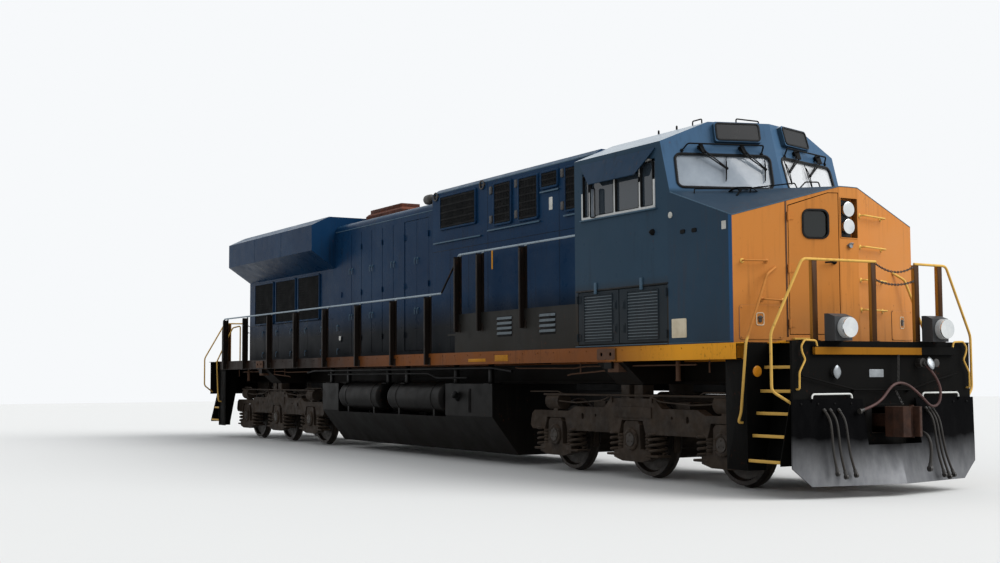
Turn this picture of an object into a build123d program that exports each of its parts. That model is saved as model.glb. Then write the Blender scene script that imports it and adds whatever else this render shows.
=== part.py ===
from build123d import *
import math
import os

# Wide nose diesel road locomotive on two six wheel bogies, in millimetres.
# +X points to the nose, +Y to the locomotive's left, +Z up.
# The origin lies under the middle of the locomotive, level with the tips of the wheel flanges.

os.makedirs("parts", exist_ok=True)

# Wheels and axles
tread_radius = 533.5
flange_depth = 28
wheel_width = 140
wheel_back = 678.5
axle_radius = 95
journal_radius = 80
hub_radius = 142
axle_height = tread_radius + flange_depth
bearing_clearance = 0.05
moving_gap = 10

# Places along the locomotive
coupler_face = 11150
end_plate_x = 10690
end_plate_thickness = 40
bogie_centre = 6964
axle_pitch = 2006
cab_rear = 6170
cab_base_front = 8400
nose_corner = 9710
nose_front = 10140
blower_hood_rear = 950
radiator_front = -4050
radiator_rear = -9350
step_well_rear = 9900
step_well_length = 600

# Widths
side_y = 1555
nose_flat_half = 155
blower_hood_half = 1200
walkway_hood_half = 950
wing_half = 1500
step_well_half = 1180

# Heights
sill_bottom = 1660
deck_top = 1864
deck_thickness = 12
beam_bottom = 1340
cab_eave = 4600
cab_peak = 4898
cab_floor = 2750
nose_floor = 1950
blower_hood_top = 4750
engine_hood_top = 4700
radiator_top = 4890
coupler_height = 904

# Hinges, whose axes lie outside the faces that they carry
hinge_radius = 14
hinge_length = 110
hinge_strap = 75
hinge_proud = hinge_radius + 1

# Walls
cab_wall = 60
nose_wall = 50
hood_wall = 50
sill_thickness = 12

# Tanks under the frame
tank_half_length = 3530
tank_half_width = 1450
tank_bottom = 170
reservoir_radius = 280
reservoir_height = 1095
reservoir_y = 1215


def save(piece, node):
    piece.part.label = node
    export_step(piece.part, f"parts/{node}.step")


def block(x, y, z, mode=Mode.ADD):
    # A box between the low and high limits of each axis
    middle = ((x[0] + x[1]) / 2, (y[0] + y[1]) / 2, (z[0] + z[1]) / 2)
    with Locations(middle):
        Box(x[1] - x[0], y[1] - y[0], z[1] - z[0], mode=mode)


def prism(outline, plane, depth, mode=Mode.ADD):
    # An outline of straight lines on a plane, raised along the plane's normal
    with BuildSketch(plane) as profile:
        with BuildLine():
            Polyline(*outline, close=True)
        make_face()
    extrude(profile.sketch, amount=depth, mode=mode)


def tube(route, radius, bend):
    # A round bar along straight runs joined by bends
    with BuildLine() as path:
        FilletPolyline(*route, radius=bend)
    with BuildSketch(Plane(path.line @ 0, z_dir=path.line % 0)) as section:
        Circle(radius)
    sweep(section.sketch, path=path.line)


def along_y(x, z, radius, y, mode=Mode.ADD):
    # A cylinder that lies across the locomotive between two values of y
    with Locations(Location((x, (y[0] + y[1]) / 2, z), (90, 0, 0))):
        Cylinder(radius, y[1] - y[0], mode=mode)


def along_x(y, z, radius, x, mode=Mode.ADD):
    # A cylinder that lies along the locomotive between two values of x
    with Locations(Location(((x[0] + x[1]) / 2, y, z), (0, 90, 0))):
        Cylinder(radius, x[1] - x[0], mode=mode)


def hinge(x, y, heights, toward_x, leaf_y):
    # Hinge barrels on a leaf's vertical axis, each with a strap that lies on the leaf's outer face
    for z in heights:
        with Locations((x, y, z)):
            Cylinder(hinge_radius, hinge_length)
        strap_x = sorted((x, x + toward_x * hinge_strap))
        outward = 1 if y > leaf_y else -1
        strap_y = sorted((leaf_y, leaf_y + outward * 6))
        block(strap_x, strap_y, (z - hinge_length * 0.4, z + hinge_length * 0.4))


# Wheelsets: two wheels with coned treads and flanges on one axle, turned about the axle's line
rim_outer = wheel_back + wheel_width
box_inner = 1000
box_outer = box_inner + 145
cap_inner = box_outer + moving_gap / 2
cap_outer = cap_inner + 30
wheel_profile = [
    (0, 0),
    (0, axle_radius),
    (wheel_back - 22, axle_radius),
    (wheel_back - 22, hub_radius),
    (wheel_back + 40, hub_radius + 22),
    (wheel_back + 52, tread_radius - 85),
    (wheel_back, tread_radius - 62),
    (wheel_back, tread_radius + 20),
    (wheel_back + 8, axle_height),
    (wheel_back + 22, axle_height),
    (wheel_back + 34, tread_radius + 8),
    (wheel_back + 46, tread_radius),
    (rim_outer, tread_radius - 5),
    (rim_outer, tread_radius - 58),
    (wheel_back + 84, tread_radius - 85),
    (wheel_back + 74, hub_radius + 22),
    (rim_outer + 18, hub_radius),
    (rim_outer + 18, axle_radius),
    (box_inner - moving_gap, axle_radius),
    (box_inner - moving_gap, journal_radius),
    (cap_inner, journal_radius),
    (cap_inner, axle_radius + 10),
    (cap_outer, axle_radius),
    (cap_outer, 0),
]


def make_wheelset(x, node):
    across = Plane(origin=(x, 0, axle_height), x_dir=(0, 1, 0), z_dir=(1, 0, 0))
    with BuildPart() as wheelset:
        with BuildSketch(across):
            with BuildLine():
                Polyline(*wheel_profile, close=True)
            make_face()
        revolve(axis=Axis((x, 0, axle_height), (0, 1, 0)))
        mirror(about=Plane.XZ)
    save(wheelset, node)


# Bogies. Places are from the bogie's middle, and lead is 1 on the front bogie and -1 on the rear one
frame_inner = box_inner
frame_outer = 1135
frame_low = 640
frame_top = 1000
frame_crown = 1140
frame_shelf = 930
frame_end = 2750
box_half = 190
box_arch = 830
spring_offset = 330
spring_radius = 67
spring_seat = 400
king_pin_radius = 150
king_pin_bottom = 950
centre_plate_bottom = 1190
motor_radius = 330
brake_cylinder_radius = 125
shoe_gap = 14
shoe_width = 70


def frame_outline():
    # Half of one side frame, from the middle to the end: underside with arches, then the top
    lower = [(0, box_arch), (box_half + 60, box_arch), (box_half + 130, frame_low)]
    lower += [(axle_pitch - box_half - 130, frame_low), (axle_pitch - box_half - 60, box_arch)]
    lower += [(axle_pitch + box_half + 60, box_arch), (axle_pitch + box_half + 130, frame_low)]
    upper = [(frame_end - 60, frame_low), (frame_end, frame_low + 60), (frame_end - 40, frame_shelf - 60)]
    upper += [(frame_end - 120, frame_shelf), (1640, frame_shelf), (1480, frame_top)]
    upper += [(700, frame_top), (530, frame_crown), (0, frame_crown)]
    return lower + upper


def make_bogie_frame(lead, node):
    centre = lead * bogie_centre
    outline = frame_outline()
    full = [(centre + x, z) for x, z in outline]
    full += [(centre - x, z) for x, z in reversed(outline[1:-1])]
    with BuildPart() as bogie:
        prism(full, Plane.XZ.offset(-frame_outer), frame_outer - frame_inner)
        prism(full, Plane.XZ.offset(frame_inner), frame_outer - frame_inner)
        # Cross members between the wheels, and the centre box for the king pin
        for x in (centre - axle_pitch / 2, centre + axle_pitch / 2):
            block((x - 150, x + 150), (-frame_inner, frame_inner), (900, 1090))
        centre_box_x = (centre - axle_pitch / 2, centre + axle_pitch / 2)
        block(centre_box_x, (-350, 350), (900, centre_plate_bottom - moving_gap))
        for side in (-1, 1):
            # Side bearers under the body bolster
            bearer_y = sorted((side * (frame_inner - 60), side * (frame_outer - 5)))
            bearer_z = (frame_crown - 20, beam_bottom - moving_gap)
            block((centre + 60, centre + 260), bearer_y, bearer_z)
            block((centre - 260, centre - 60), bearer_y, bearer_z)
        with Locations((centre, 0, (900 + centre_plate_bottom) / 2)):
            Cylinder(king_pin_radius + bearing_clearance, 400, mode=Mode.SUBTRACT)
        for side in (-1, 1):
            # Slots and pin holes through the side frames, and a thick pad over each middle axle box
            hole_y = sorted((side * (frame_inner - 20), side * (frame_outer + 20)))
            for x in (centre - axle_pitch * 0.63, centre + axle_pitch * 0.63):
                along_y(x, frame_low + 205, 32, hole_y, Mode.SUBTRACT)
                along_y(x, frame_low + 235, 32, hole_y, Mode.SUBTRACT)
                along_y(x, frame_low + 220, 32, hole_y, Mode.SUBTRACT)
            for x in (centre - axle_pitch * 0.46, centre + axle_pitch * 0.46):
                along_y(x, frame_low + 240, 22, hole_y, Mode.SUBTRACT)
            pad_y = sorted((side * frame_outer, side * (frame_outer + 18)))
            block((centre - 470, centre + 470), pad_y, (box_arch + 40, frame_crown - 120))
    save(bogie, node)


def make_axle_boxes(lead, node):
    centre = lead * bogie_centre
    with BuildPart() as boxes:
        for x in (centre - axle_pitch, centre, centre + axle_pitch):
            casting = [
                (x - spring_offset - 110, 300),
                (x - box_half - 40, 250),
                (x + box_half + 40, 250),
                (x + spring_offset + 110, 300),
                (x + spring_offset + 110, spring_seat),
                (x + box_half + 20, spring_seat + 30),
                (x + box_half, box_arch - 60),
                (x + box_half - 50, box_arch - moving_gap),
                (x - box_half + 50, box_arch - moving_gap),
                (x - box_half, box_arch - 60),
                (x - box_half - 20, spring_seat + 30),
                (x - spring_offset - 110, spring_seat),
            ]
            prism(casting, Plane.XZ.offset(-box_outer), box_outer - box_inner)
            prism(casting, Plane.XZ.offset(box_inner), box_outer - box_inner)
            for side in (-1, 1):
                low_y, high_y = sorted((side * (box_inner - 20), side * (box_outer + 20)))
                along_y(x, axle_height, journal_radius + bearing_clearance, (low_y, high_y), Mode.SUBTRACT)
        # Each coil spring is a stack of rounded turns between its seat and the side frame
        turns = 5
        height = frame_low - spring_seat
        turn = height / turns
        middle_y = (frame_inner + frame_outer) / 2
        for x in (centre - axle_pitch, centre, centre + axle_pitch):
            for offset_x in (-spring_offset, spring_offset):
                for side in (-1, 1):
                    place = (x + offset_x, side * middle_y, spring_seat)
                    section = Plane(origin=place, x_dir=(1, 0, 0), z_dir=(0, -1, 0))
                    with BuildSketch(section) as profile:
                        with BuildLine():
                            Line((0, height), (0, 0))
                            Line((0, 0), (spring_radius - 14, 0))
                            for i in range(turns):
                                low = (spring_radius - 14, i * turn)
                                high = (spring_radius - 14, (i + 1) * turn)
                                ThreePointArc(low, (spring_radius, (i + 0.5) * turn), high)
                            Line((spring_radius - 14, height), (0, height))
                        make_face()
                    revolve(profile.sketch, axis=Axis(place, (0, 0, 1)))
    save(boxes, node)


def make_motors(lead, node):
    # Nose hung traction motors, each with a sleeve round its axle, all facing the fuel tank
    centre = lead * bogie_centre
    reach = 560
    with BuildPart() as motors:
        for x in (centre - lead * axle_pitch, centre, centre + lead * axle_pitch):
            body_x = x - lead * reach
            along_y(body_x, axle_height, motor_radius, (-560, 560))
            low_x, high_x = sorted((body_x - lead * 120, x - lead * 130))
            block((low_x, high_x), (-500, 500), (axle_height - 230, axle_height + 260))
            along_y(x, axle_height, axle_radius + 60, (-600, 600))
            along_y(x, axle_height, axle_radius + moving_gap, (-620, 620), Mode.SUBTRACT)
    save(motors, node)


def make_brakes(lead, node):
    # Brake cylinders on the side frames, pipes along their tops, shoes and hangers at each wheel
    centre = lead * bogie_centre
    with BuildPart() as brakes:
        for side in (-1, 1):
            frame_y = side * (frame_inner + frame_outer) / 2
            for end in (-1, 1):
                x = centre + end * (axle_pitch + 20)
                block((x - 60, x + 60), (frame_y - 60, frame_y + 60), (frame_shelf, frame_shelf + 60))
                cylinder_x = sorted((x - end * 160, x + end * 200))
                along_x(frame_y, frame_shelf + 20 + brake_cylinder_radius, brake_cylinder_radius, cylinder_x)
            pipe_y = side * (frame_outer + 25)
            pipe_z = frame_crown + 40
            along_x(pipe_y, pipe_z, 15, (centre - frame_end + 450, centre + frame_end - 450))
            for clip_x in (-480, 480):
                clip_y = sorted((side * frame_outer, pipe_y))
                block((centre + clip_x - 20, centre + clip_x + 20), clip_y, (frame_crown - 60, pipe_z))
            for x in (centre - axle_pitch, centre, centre + axle_pitch):
                # The shoe is a short arc ahead of the wheel, hung from a bar that reaches the side frame
                inner = tread_radius + shoe_gap
                shoe_y = side * (wheel_back + 97)
                place = (x, shoe_y + shoe_width / 2, axle_height)
                with BuildSketch(Plane(origin=place, x_dir=(1, 0, 0), z_dir=(0, -1, 0))) as shoe:
                    with BuildLine():
                        start = 0 if lead > 0 else 180
                        CenterArc((0, 0), inner, start - 17, 34)
                        CenterArc((0, 0), inner + 55, start - 17, 34)
                        for angle in (start - 17, start + 17):
                            cosine = math.cos(math.radians(angle))
                            sine = math.sin(math.radians(angle))
                            near = (inner * cosine, inner * sine)
                            Line(near, ((inner + 55) * cosine, (inner + 55) * sine))
                    make_face()
                extrude(shoe.sketch, amount=shoe_width)
                hanger_x = x + lead * (inner + 40)
                bar_y = sorted((shoe_y, side * frame_inner))
                block((hanger_x - 25, hanger_x + 25), bar_y, (frame_low + 30, frame_low + 90))
                link_x = (hanger_x - 22, hanger_x + 22)
                block(link_x, (shoe_y - 30, shoe_y + 30), (axle_height, frame_low + 90))
    save(brakes, node)


for lead, place in ((1, "front"), (-1, "rear")):
    make_bogie_frame(lead, f"{place}_bogie_frame")
    make_axle_boxes(lead, f"{place}_axle_boxes")
    make_motors(lead, f"{place}_traction_motors")
    make_brakes(lead, f"{place}_brake_gear")
for number in range(3):
    make_wheelset(bogie_centre + (1 - number) * axle_pitch, f"wheelset_{number + 1}")
    make_wheelset(-bogie_centre + (1 - number) * axle_pitch, f"wheelset_{number + 4}")


# Underframe: side sills, deck, two deep beams and a bolster over each bogie
draft_box_rear = 9860
draft_box_half = 260
draft_box_wall = 50
draft_box_bottom = 690
pocket = (740, 1080)
coupler_pin_x = 10000
coupler_pin_radius = 40
jack_pad_half = 90
jack_pad_bottom = 1560
lift_plate = 15
lift_hole_radius = 28
lift_hole_depth = 100
centre_plate_radius = 380
with BuildPart() as underframe:
    front_x = end_plate_x - end_plate_thickness
    block((-front_x, front_x), (-side_y, side_y), (deck_top - deck_thickness, deck_top))
    for end in (-1, 1):
        for side in (-1, 1):
            well_x = sorted((end * step_well_rear, end * (step_well_rear + step_well_length)))
            well_y = sorted((side * step_well_half, side * (side_y + 20)))
            block(well_x, well_y, (deck_top - 60, deck_top + 60), Mode.SUBTRACT)
    for side in (-1, 1):
        web = sorted((side * (side_y - sill_thickness), side * side_y))
        flange = sorted((side * (side_y - 90), side * side_y))
        sill_x = (-step_well_rear + 150, step_well_rear - 150)
        block(sill_x, web, (sill_bottom, deck_top - deck_thickness))
        block(sill_x, flange, (sill_bottom, sill_bottom + sill_thickness))
        beam_web = sorted((side * 410, side * 434))
        beam_flange = sorted((side * 300, side * 544))
        block((-front_x, front_x), beam_web, (beam_bottom, deck_top - deck_thickness))
        block((-front_x, front_x), beam_flange, (beam_bottom, beam_bottom + 30))
    for end in (-1, 1):
        x = end * bogie_centre
        bolster_y = side_y - sill_thickness
        bolster = [
            (-bolster_y, sill_bottom + 20),
            (-1150, beam_bottom),
            (1150, beam_bottom),
            (bolster_y, sill_bottom + 20),
            (bolster_y, deck_top - deck_thickness),
            (-bolster_y, deck_top - deck_thickness),
        ]
        prism(bolster, Plane.YZ.offset(x - 320), 640)
        for side in (-1, 1):
            # Jacking pad under the sill, and a plate with two lifting holes on it
            pad_y = sorted((side * (side_y - 150), side * (side_y - 10)))
            block((x - jack_pad_half, x + jack_pad_half), pad_y, (jack_pad_bottom, sill_bottom + 40))
            plate_y = sorted((side * (side_y - 1), side * (side_y + lift_plate)))
            block((x - 230, x + 230), plate_y, (sill_bottom + 5, deck_top - 20))
            for hole_x in (x - 110, x + 110):
                hole_y = sorted((side * (side_y - lift_hole_depth), side * (side_y + 50)))
                along_y(hole_x, (sill_bottom + deck_top) / 2, lift_hole_radius, hole_y, Mode.SUBTRACT)
        # Cross bearers beside the fuel tank
        bearer_x = sorted((end * 3700, end * 3720))
        block(bearer_x, (-side_y + 20, side_y - 20), (sill_bottom, deck_top - deck_thickness))
save(underframe, "underframe")

# King pins with their centre plates under the bolsters, and draft boxes that are open to the ends for
# the couplers' shanks, each with its coupler's pin
with BuildPart() as draft_boxes:
    for end in (-1, 1):
        with Locations((end * bogie_centre, 0, (centre_plate_bottom + beam_bottom) / 2)):
            Cylinder(centre_plate_radius, beam_bottom - centre_plate_bottom)
        with Locations((end * bogie_centre, 0, (king_pin_bottom + beam_bottom) / 2)):
            Cylinder(king_pin_radius, beam_bottom - king_pin_bottom)
        box_x = sorted((end * draft_box_rear, end * (end_plate_x - end_plate_thickness)))
        inner_x = sorted((end * (draft_box_rear + draft_box_wall), end * (end_plate_x + 100)))
        block(box_x, (-draft_box_half, draft_box_half), (draft_box_bottom, deck_top - deck_thickness))
        inner_half = draft_box_half - draft_box_wall
        block(inner_x, (-inner_half, inner_half), pocket, Mode.SUBTRACT)
        with Locations((end * coupler_pin_x, 0, (pocket[0] + pocket[1]) / 2)):
            Cylinder(coupler_pin_radius, pocket[1] - pocket[0])
save(draft_boxes, "draft_boxes_and_king_pins")

# Fuel tank, with its upper corners cut back where the air reservoirs lie
tank_outline = [
    (-tank_half_width, beam_bottom),
    (-tank_half_width, 800),
    (-950, tank_bottom),
    (950, tank_bottom),
    (tank_half_width, 800),
    (tank_half_width, beam_bottom),
]
reservoir_shelf = reservoir_height - reservoir_radius - 40
with BuildPart() as tank:
    prism(tank_outline, Plane.YZ.offset(-tank_half_length), 2 * tank_half_length)
    for side in (-1, 1):
        notch_y = sorted((side * (reservoir_y - reservoir_radius - 40), side * 1600))
        block((-2720, 1900), notch_y, (reservoir_shelf, beam_bottom + 10), Mode.SUBTRACT)
        for x in (-2300, -1100, 0, 1400):
            saddle_y = sorted((side * (reservoir_y - 200), side * (reservoir_y + 200)))
            block((x - 30, x + 30), saddle_y, (reservoir_shelf, reservoir_height - 60))
        along_x(side * reservoir_y, reservoir_height, reservoir_radius, (-2700, 1880), Mode.SUBTRACT)
save(tank, "fuel_tank")

# Four main air reservoirs, cylinders with domed ends
with BuildPart() as reservoirs:
    for side in (-1, 1):
        for low_x, high_x in ((-2650, -780), (-400, 1790)):
            along_x(side * reservoir_y, reservoir_height, reservoir_radius, (low_x, high_x))
    fillet(reservoirs.edges().filter_by(GeomType.CIRCLE), 90)
save(reservoirs, "air_reservoirs")


# Cab: side walls, eaves and a roof with sloped shoulders, and a raked windscreen wall in two halves
peak_half = 850
screen_foot_x = 8945
screen_foot_z = 3958
screen_sweep = 18
screen_rake = 16
sweep_slope = math.tan(math.radians(screen_sweep))
rake_slope = math.tan(math.radians(screen_rake))


def screen_plane(side, depth):
    # The outer face of one half of the windscreen wall, moved inward by depth
    normal = Vector(1, side * sweep_slope, rake_slope).normalized()
    origin = Vector(screen_foot_x, 0, screen_foot_z) - normal * depth
    across = Vector(sweep_slope * -side, 1, 0).normalized()
    return Plane(origin=origin, x_dir=across, z_dir=normal)


def cab_block(inset, low_z):
    outline = [
        (-side_y + inset, low_z),
        (side_y - inset, low_z),
        (side_y - inset, cab_eave - inset * 0.4),
        (peak_half - inset * 0.2, cab_peak - inset),
        (-peak_half + inset * 0.2, cab_peak - inset),
        (-side_y + inset, cab_eave - inset * 0.4),
    ]
    with BuildPart() as body:
        prism(outline, Plane.YZ.offset(cab_rear + inset), 4000)
        for side in (-1, 1):
            split(bisect_by=screen_plane(side, inset), keep=Keep.BOTTOM)
    return body.part


# Nose: a shallow V in plan with a flat middle, and a top of two levels that fall to the sides
nose_side_rear = (8460, 3883)
nose_side_front = (nose_corner, 3450)
nose_peak_z = 3846
nose_ridge_rear = (8930, 3915)


def nose_block(inset, low_z):
    corner = nose_corner - inset * 1.1
    flat = nose_flat_half - inset * 0.15
    plan = [
        (cab_base_front, -side_y + inset),
        (corner, -side_y + inset),
        (nose_front - inset, -flat),
        (nose_front - inset, flat),
        (corner, side_y - inset),
        (cab_base_front, side_y - inset),
    ]
    with BuildPart() as body:
        prism(plan, Plane.XY.offset(low_z), 4300 - low_z)
        for side in (-1, 1):
            rear = Vector(nose_side_rear[0], side * side_y, nose_side_rear[1])
            front = Vector(nose_side_front[0], side * side_y, nose_side_front[1])
            peak = Vector(nose_front, side * nose_flat_half, nose_peak_z)
            ridge = Vector(nose_ridge_rear[0], 0, nose_ridge_rear[1])
            for a, b, c in ((rear, front, peak), (rear, peak, ridge)):
                normal = (b - a).cross(c - a).normalized()
                if normal.Z < 0:
                    normal = normal * -1
                origin = a - normal * inset
                split(bisect_by=Plane(origin=origin, z_dir=normal), keep=Keep.BOTTOM)
        fall = Vector(nose_peak_z - nose_ridge_rear[1], 0, nose_ridge_rear[0] - nose_front) * -1
        origin = Vector(nose_front, 0, nose_peak_z - inset)
        split(bisect_by=Plane(origin=origin, z_dir=fall.normalized()), keep=Keep.BOTTOM)
    return body.part


# Windows of the cab: x limits and heights of the side windows, places of the two screens
side_window = (6370, 8140, 3714, 4388)
screen_low = 5
screen_high = 480
screen_inner = 150
screen_outer = 1500
screen_corner = 80
# Battery compartment doors under each side window: rear edge, front edge
battery_doors = ((6250, 7255), (7275, 8365))
battery_low = 1900
battery_high = 2670
# Rear door on the left of the cab
rear_door_y = (985, 1475)
rear_door_z = (cab_floor + 10, 4420)
door_gap = 10

nose_outer = nose_block(0, deck_top)
with BuildPart() as cab:
    add(cab_block(0, deck_top))
    add(nose_outer, mode=Mode.SUBTRACT)
    block((cab_base_front, nose_front), (-side_y - 10, side_y + 10), (deck_top - 10, 3600), Mode.SUBTRACT)
    add(cab_block(cab_wall, cab_floor), mode=Mode.SUBTRACT)
    under_floor_x = (cab_rear + cab_wall, cab_base_front - cab_wall)
    block(under_floor_x, (-900, 900), (deck_top, cab_floor - cab_wall), Mode.SUBTRACT)
    for side in (-1, 1):
        wall_y = sorted((side * (side_y - cab_wall - 40), side * (side_y + 10)))
        block(side_window[:2], wall_y, side_window[2:], Mode.SUBTRACT)
        deep_y = sorted((side * 960, side * (side_y + 10)))
        for low_x, high_x in battery_doors:
            block((low_x - door_gap, high_x + door_gap), deep_y, (battery_low, battery_high), Mode.SUBTRACT)
        with BuildSketch(screen_plane(side, 0)) as screen:
            with Locations((side * (screen_inner + screen_outer) / 2, (screen_low + screen_high) / 2)):
                RectangleRounded(screen_outer - screen_inner, screen_high - screen_low, screen_corner)
        extrude(screen.sketch, amount=120, both=True, mode=Mode.SUBTRACT)
    opening_y = (rear_door_y[0] - door_gap, rear_door_y[1] + door_gap)
    opening_z = (rear_door_z[0] - 5, rear_door_z[1] + door_gap)
    block((cab_rear - 10, cab_rear + cab_wall + 10), opening_y, opening_z, Mode.SUBTRACT)
save(cab, "cab_shell")

# Nose shell with the front door's opening on its right face and a recess for the headlights
face_length = math.hypot(nose_front - nose_corner, side_y - nose_flat_half)
face_along = Vector((nose_front - nose_corner) / face_length, (side_y - nose_flat_half) / face_length, 0)
face_out = Vector(face_along.Y, -face_along.X, 0)
door_face = Plane(origin=(nose_corner, -side_y, 0), x_dir=face_along, z_dir=face_out)
door_rear = 760
door_width = 680
door_bottom = 1970
door_shoulder = 3580
door_top = 3753
door_flat = 136
door_thickness = nose_wall
nose_hinge_gap = 9
lamp_recess = (3195, 3700)
recess_depth = 95
recess_wall = 20


def door_outline(grow):
    low = door_bottom - grow
    left = door_rear - grow
    right = door_rear + door_width + grow
    return [
        (left, low),
        (right, low),
        (right, door_top + grow),
        (right - grow - door_flat, door_top + grow),
        (left, door_shoulder + grow),
    ]


with BuildPart() as nose:
    add(nose_outer)
    add(nose_block(nose_wall, nose_floor), mode=Mode.SUBTRACT)
    inner_y = (-side_y + nose_wall, side_y - nose_wall)
    block((cab_base_front - 1, cab_base_front + 60), inner_y, (nose_floor, 3800), Mode.SUBTRACT)
    prism(door_outline(door_gap), door_face.offset(20), -nose_wall - 60, Mode.SUBTRACT)
    recess_half = nose_flat_half - 12
    recess_back = nose_front - recess_depth
    case_half = recess_half + recess_wall
    case_z = (lamp_recess[0] - recess_wall, lamp_recess[1] + recess_wall)
    block((recess_back - recess_wall, nose_front - nose_wall + 1), (-case_half, case_half), case_z)
    block((recess_back, nose_front + 10), (-recess_half, recess_half), lamp_recess, Mode.SUBTRACT)
save(nose, "nose_shell")

# Front door in the nose, with its window and hinge barrels
door_window = (962, 1296, 3187, 3532)
with BuildPart() as nose_door:
    prism(door_outline(0), door_face, -door_thickness)
    with BuildSketch(door_face) as pane:
        with Locations(((door_window[0] + door_window[1]) / 2, (door_window[2] + door_window[3]) / 2)):
            RectangleRounded(door_window[1] - door_window[0], door_window[3] - door_window[2], 80)
    extrude(pane.sketch, amount=100, both=True, mode=Mode.SUBTRACT)
    # Hinge barrels beside the door, each with a strap on its outer face
    for z in (2100, 2790, 3450):
        barrel = door_face.from_local_coords(Vector(door_rear - nose_hinge_gap, z, hinge_proud))
        with Locations(barrel):
            Cylinder(hinge_radius, hinge_length)
        with BuildSketch(door_face) as strap:
            with Locations((door_rear - nose_hinge_gap + hinge_strap / 2, z)):
                Rectangle(hinge_strap, hinge_length * 0.8)
        extrude(strap.sketch, amount=6)
save(nose_door, "nose_door")
with BuildPart() as nose_door_glass:
    with BuildSketch(door_face.offset(-20)):
        with Locations(((door_window[0] + door_window[1]) / 2, (door_window[2] + door_window[3]) / 2)):
            RectangleRounded(door_window[1] - door_window[0], door_window[3] - door_window[2], 80)
    extrude(amount=-10)
save(nose_door_glass, "nose_door_glass")

# Door at the rear of the cab, on the left walkway
with BuildPart() as cab_door:
    block((cab_rear, cab_rear + cab_wall - 10), rear_door_y, rear_door_z)
    pane_y = (rear_door_y[0] + 90, rear_door_y[1] - 90)
    block((cab_rear - 10, cab_rear + cab_wall), pane_y, (3700, 4300), Mode.SUBTRACT)
    for z in (2900, 3550, 4280):
        # Its hinge barrels stand behind the rear wall, with straps on the door
        with Locations((cab_rear - hinge_proud, rear_door_y[0] - 6, z)):
            Cylinder(hinge_radius, hinge_length)
        strap_y = (rear_door_y[0] - 6, rear_door_y[0] + hinge_strap)
        block((cab_rear - 6, cab_rear), strap_y, (z - hinge_length * 0.4, z + hinge_length * 0.4))
save(cab_door, "cab_rear_door")
with BuildPart() as cab_door_glass:
    block((cab_rear + 20, cab_rear + 30), pane_y, (3700, 4300))
save(cab_door_glass, "cab_rear_door_glass")

# Louvred battery doors, two on each side
louvre_count = 16
for side, place in ((-1, "right"), (1, "left")):
    for (low_x, high_x), position in zip(battery_doors, ("rear", "front")):
        with BuildPart() as louvre_door:
            face = sorted((side * (side_y - 40), side * (side_y - 4)))
            block((low_x, high_x), face, (battery_low + door_gap, battery_high - door_gap))
            pitch = (battery_high - battery_low - 100) / louvre_count
            for slat in range(louvre_count):
                z = battery_low + 50 + slat * pitch
                outer = side * side_y
                inner = side * (side_y - 20)
                blade = [(outer, z + 8), (inner, z + 32), (inner, z), (outer, z)]
                middle = (low_x + high_x) / 2
                prism(blade, Plane.YZ.offset(middle - 345), 690)
            toward = 1 if position == "rear" else -1
            hinge_x = low_x - 6 if position == "rear" else high_x + 6
            heights = (battery_low + 110, battery_high - 110)
            hinge(hinge_x, side * (side_y + hinge_proud), heights, toward, side * (side_y - 4))
        save(louvre_door, f"battery_door_{place}_{position}")

# Battery boxes behind those doors
with BuildPart() as batteries:
    for side in (-1, 1):
        block((6300, 8320), sorted((side * 970, side * (side_y - 80))), (battery_low + 5, battery_high - 60))
save(batteries, "battery_boxes")

# Glass
window_lights = ((6410, 6560), (6600, 7180), (7220, 7780), (7820, 8100))
light_border = 35
with BuildPart() as glass:
    for side in (-1, 1):
        with BuildSketch(screen_plane(side, 20)) as pane:
            with Locations((side * (screen_inner + screen_outer) / 2, (screen_low + screen_high) / 2)):
                RectangleRounded(screen_outer - screen_inner, screen_high - screen_low, screen_corner)
        extrude(pane.sketch, amount=-14)
        pane_y = sorted((side * (side_y - 30), side * (side_y - 20)))
        for low_x, high_x in window_lights:
            block((low_x, high_x), pane_y, (side_window[2] + light_border, side_window[3] - light_border))
save(glass, "cab_glass")

# Side windows: a bright frame round four lights, under an awning
with BuildPart() as window_frames:
    for side in (-1, 1):
        frame_y = sorted((side * (side_y - 50), side * (side_y + 12)))
        block(side_window[:2], frame_y, side_window[2:])
        for low_x, high_x in window_lights:
            through = sorted((side * (side_y - 60), side * (side_y + 20)))
            light_z = (side_window[2] + light_border, side_window[3] - light_border)
            block((low_x, high_x), through, light_z, Mode.SUBTRACT)
        # Awning over the window
        section = [
            (side * side_y, 4520),
            (side * (side_y + 14), 4524),
            (side * (side_y + 112), 4200),
            (side * (side_y + 98), 4192),
        ]
        prism(section, Plane.YZ.offset(6350), 1800)
        for corner in (6350, 8150):
            inner = 1 if corner == 6350 else -1
            wedge = [(corner - inner * 10, 4515), (corner - inner * 10, 4100), (corner + inner * 450, 4100)]
            deep = Plane.XZ.offset(-side_y - 200 if side > 0 else side_y - 100)
            prism(wedge, deep, 300, Mode.SUBTRACT)
save(window_frames, "side_window_frames_and_awnings")

# Number boards over the windscreens, each with a blank face
with BuildPart() as boards:
    for side in (-1, 1):
        with BuildSketch(screen_plane(side, 0)) as face:
            with Locations((side * 590, 800)):
                RectangleRounded(670, 290, 30)
        extrude(face.sketch, amount=70)
save(boards, "number_boards")

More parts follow.
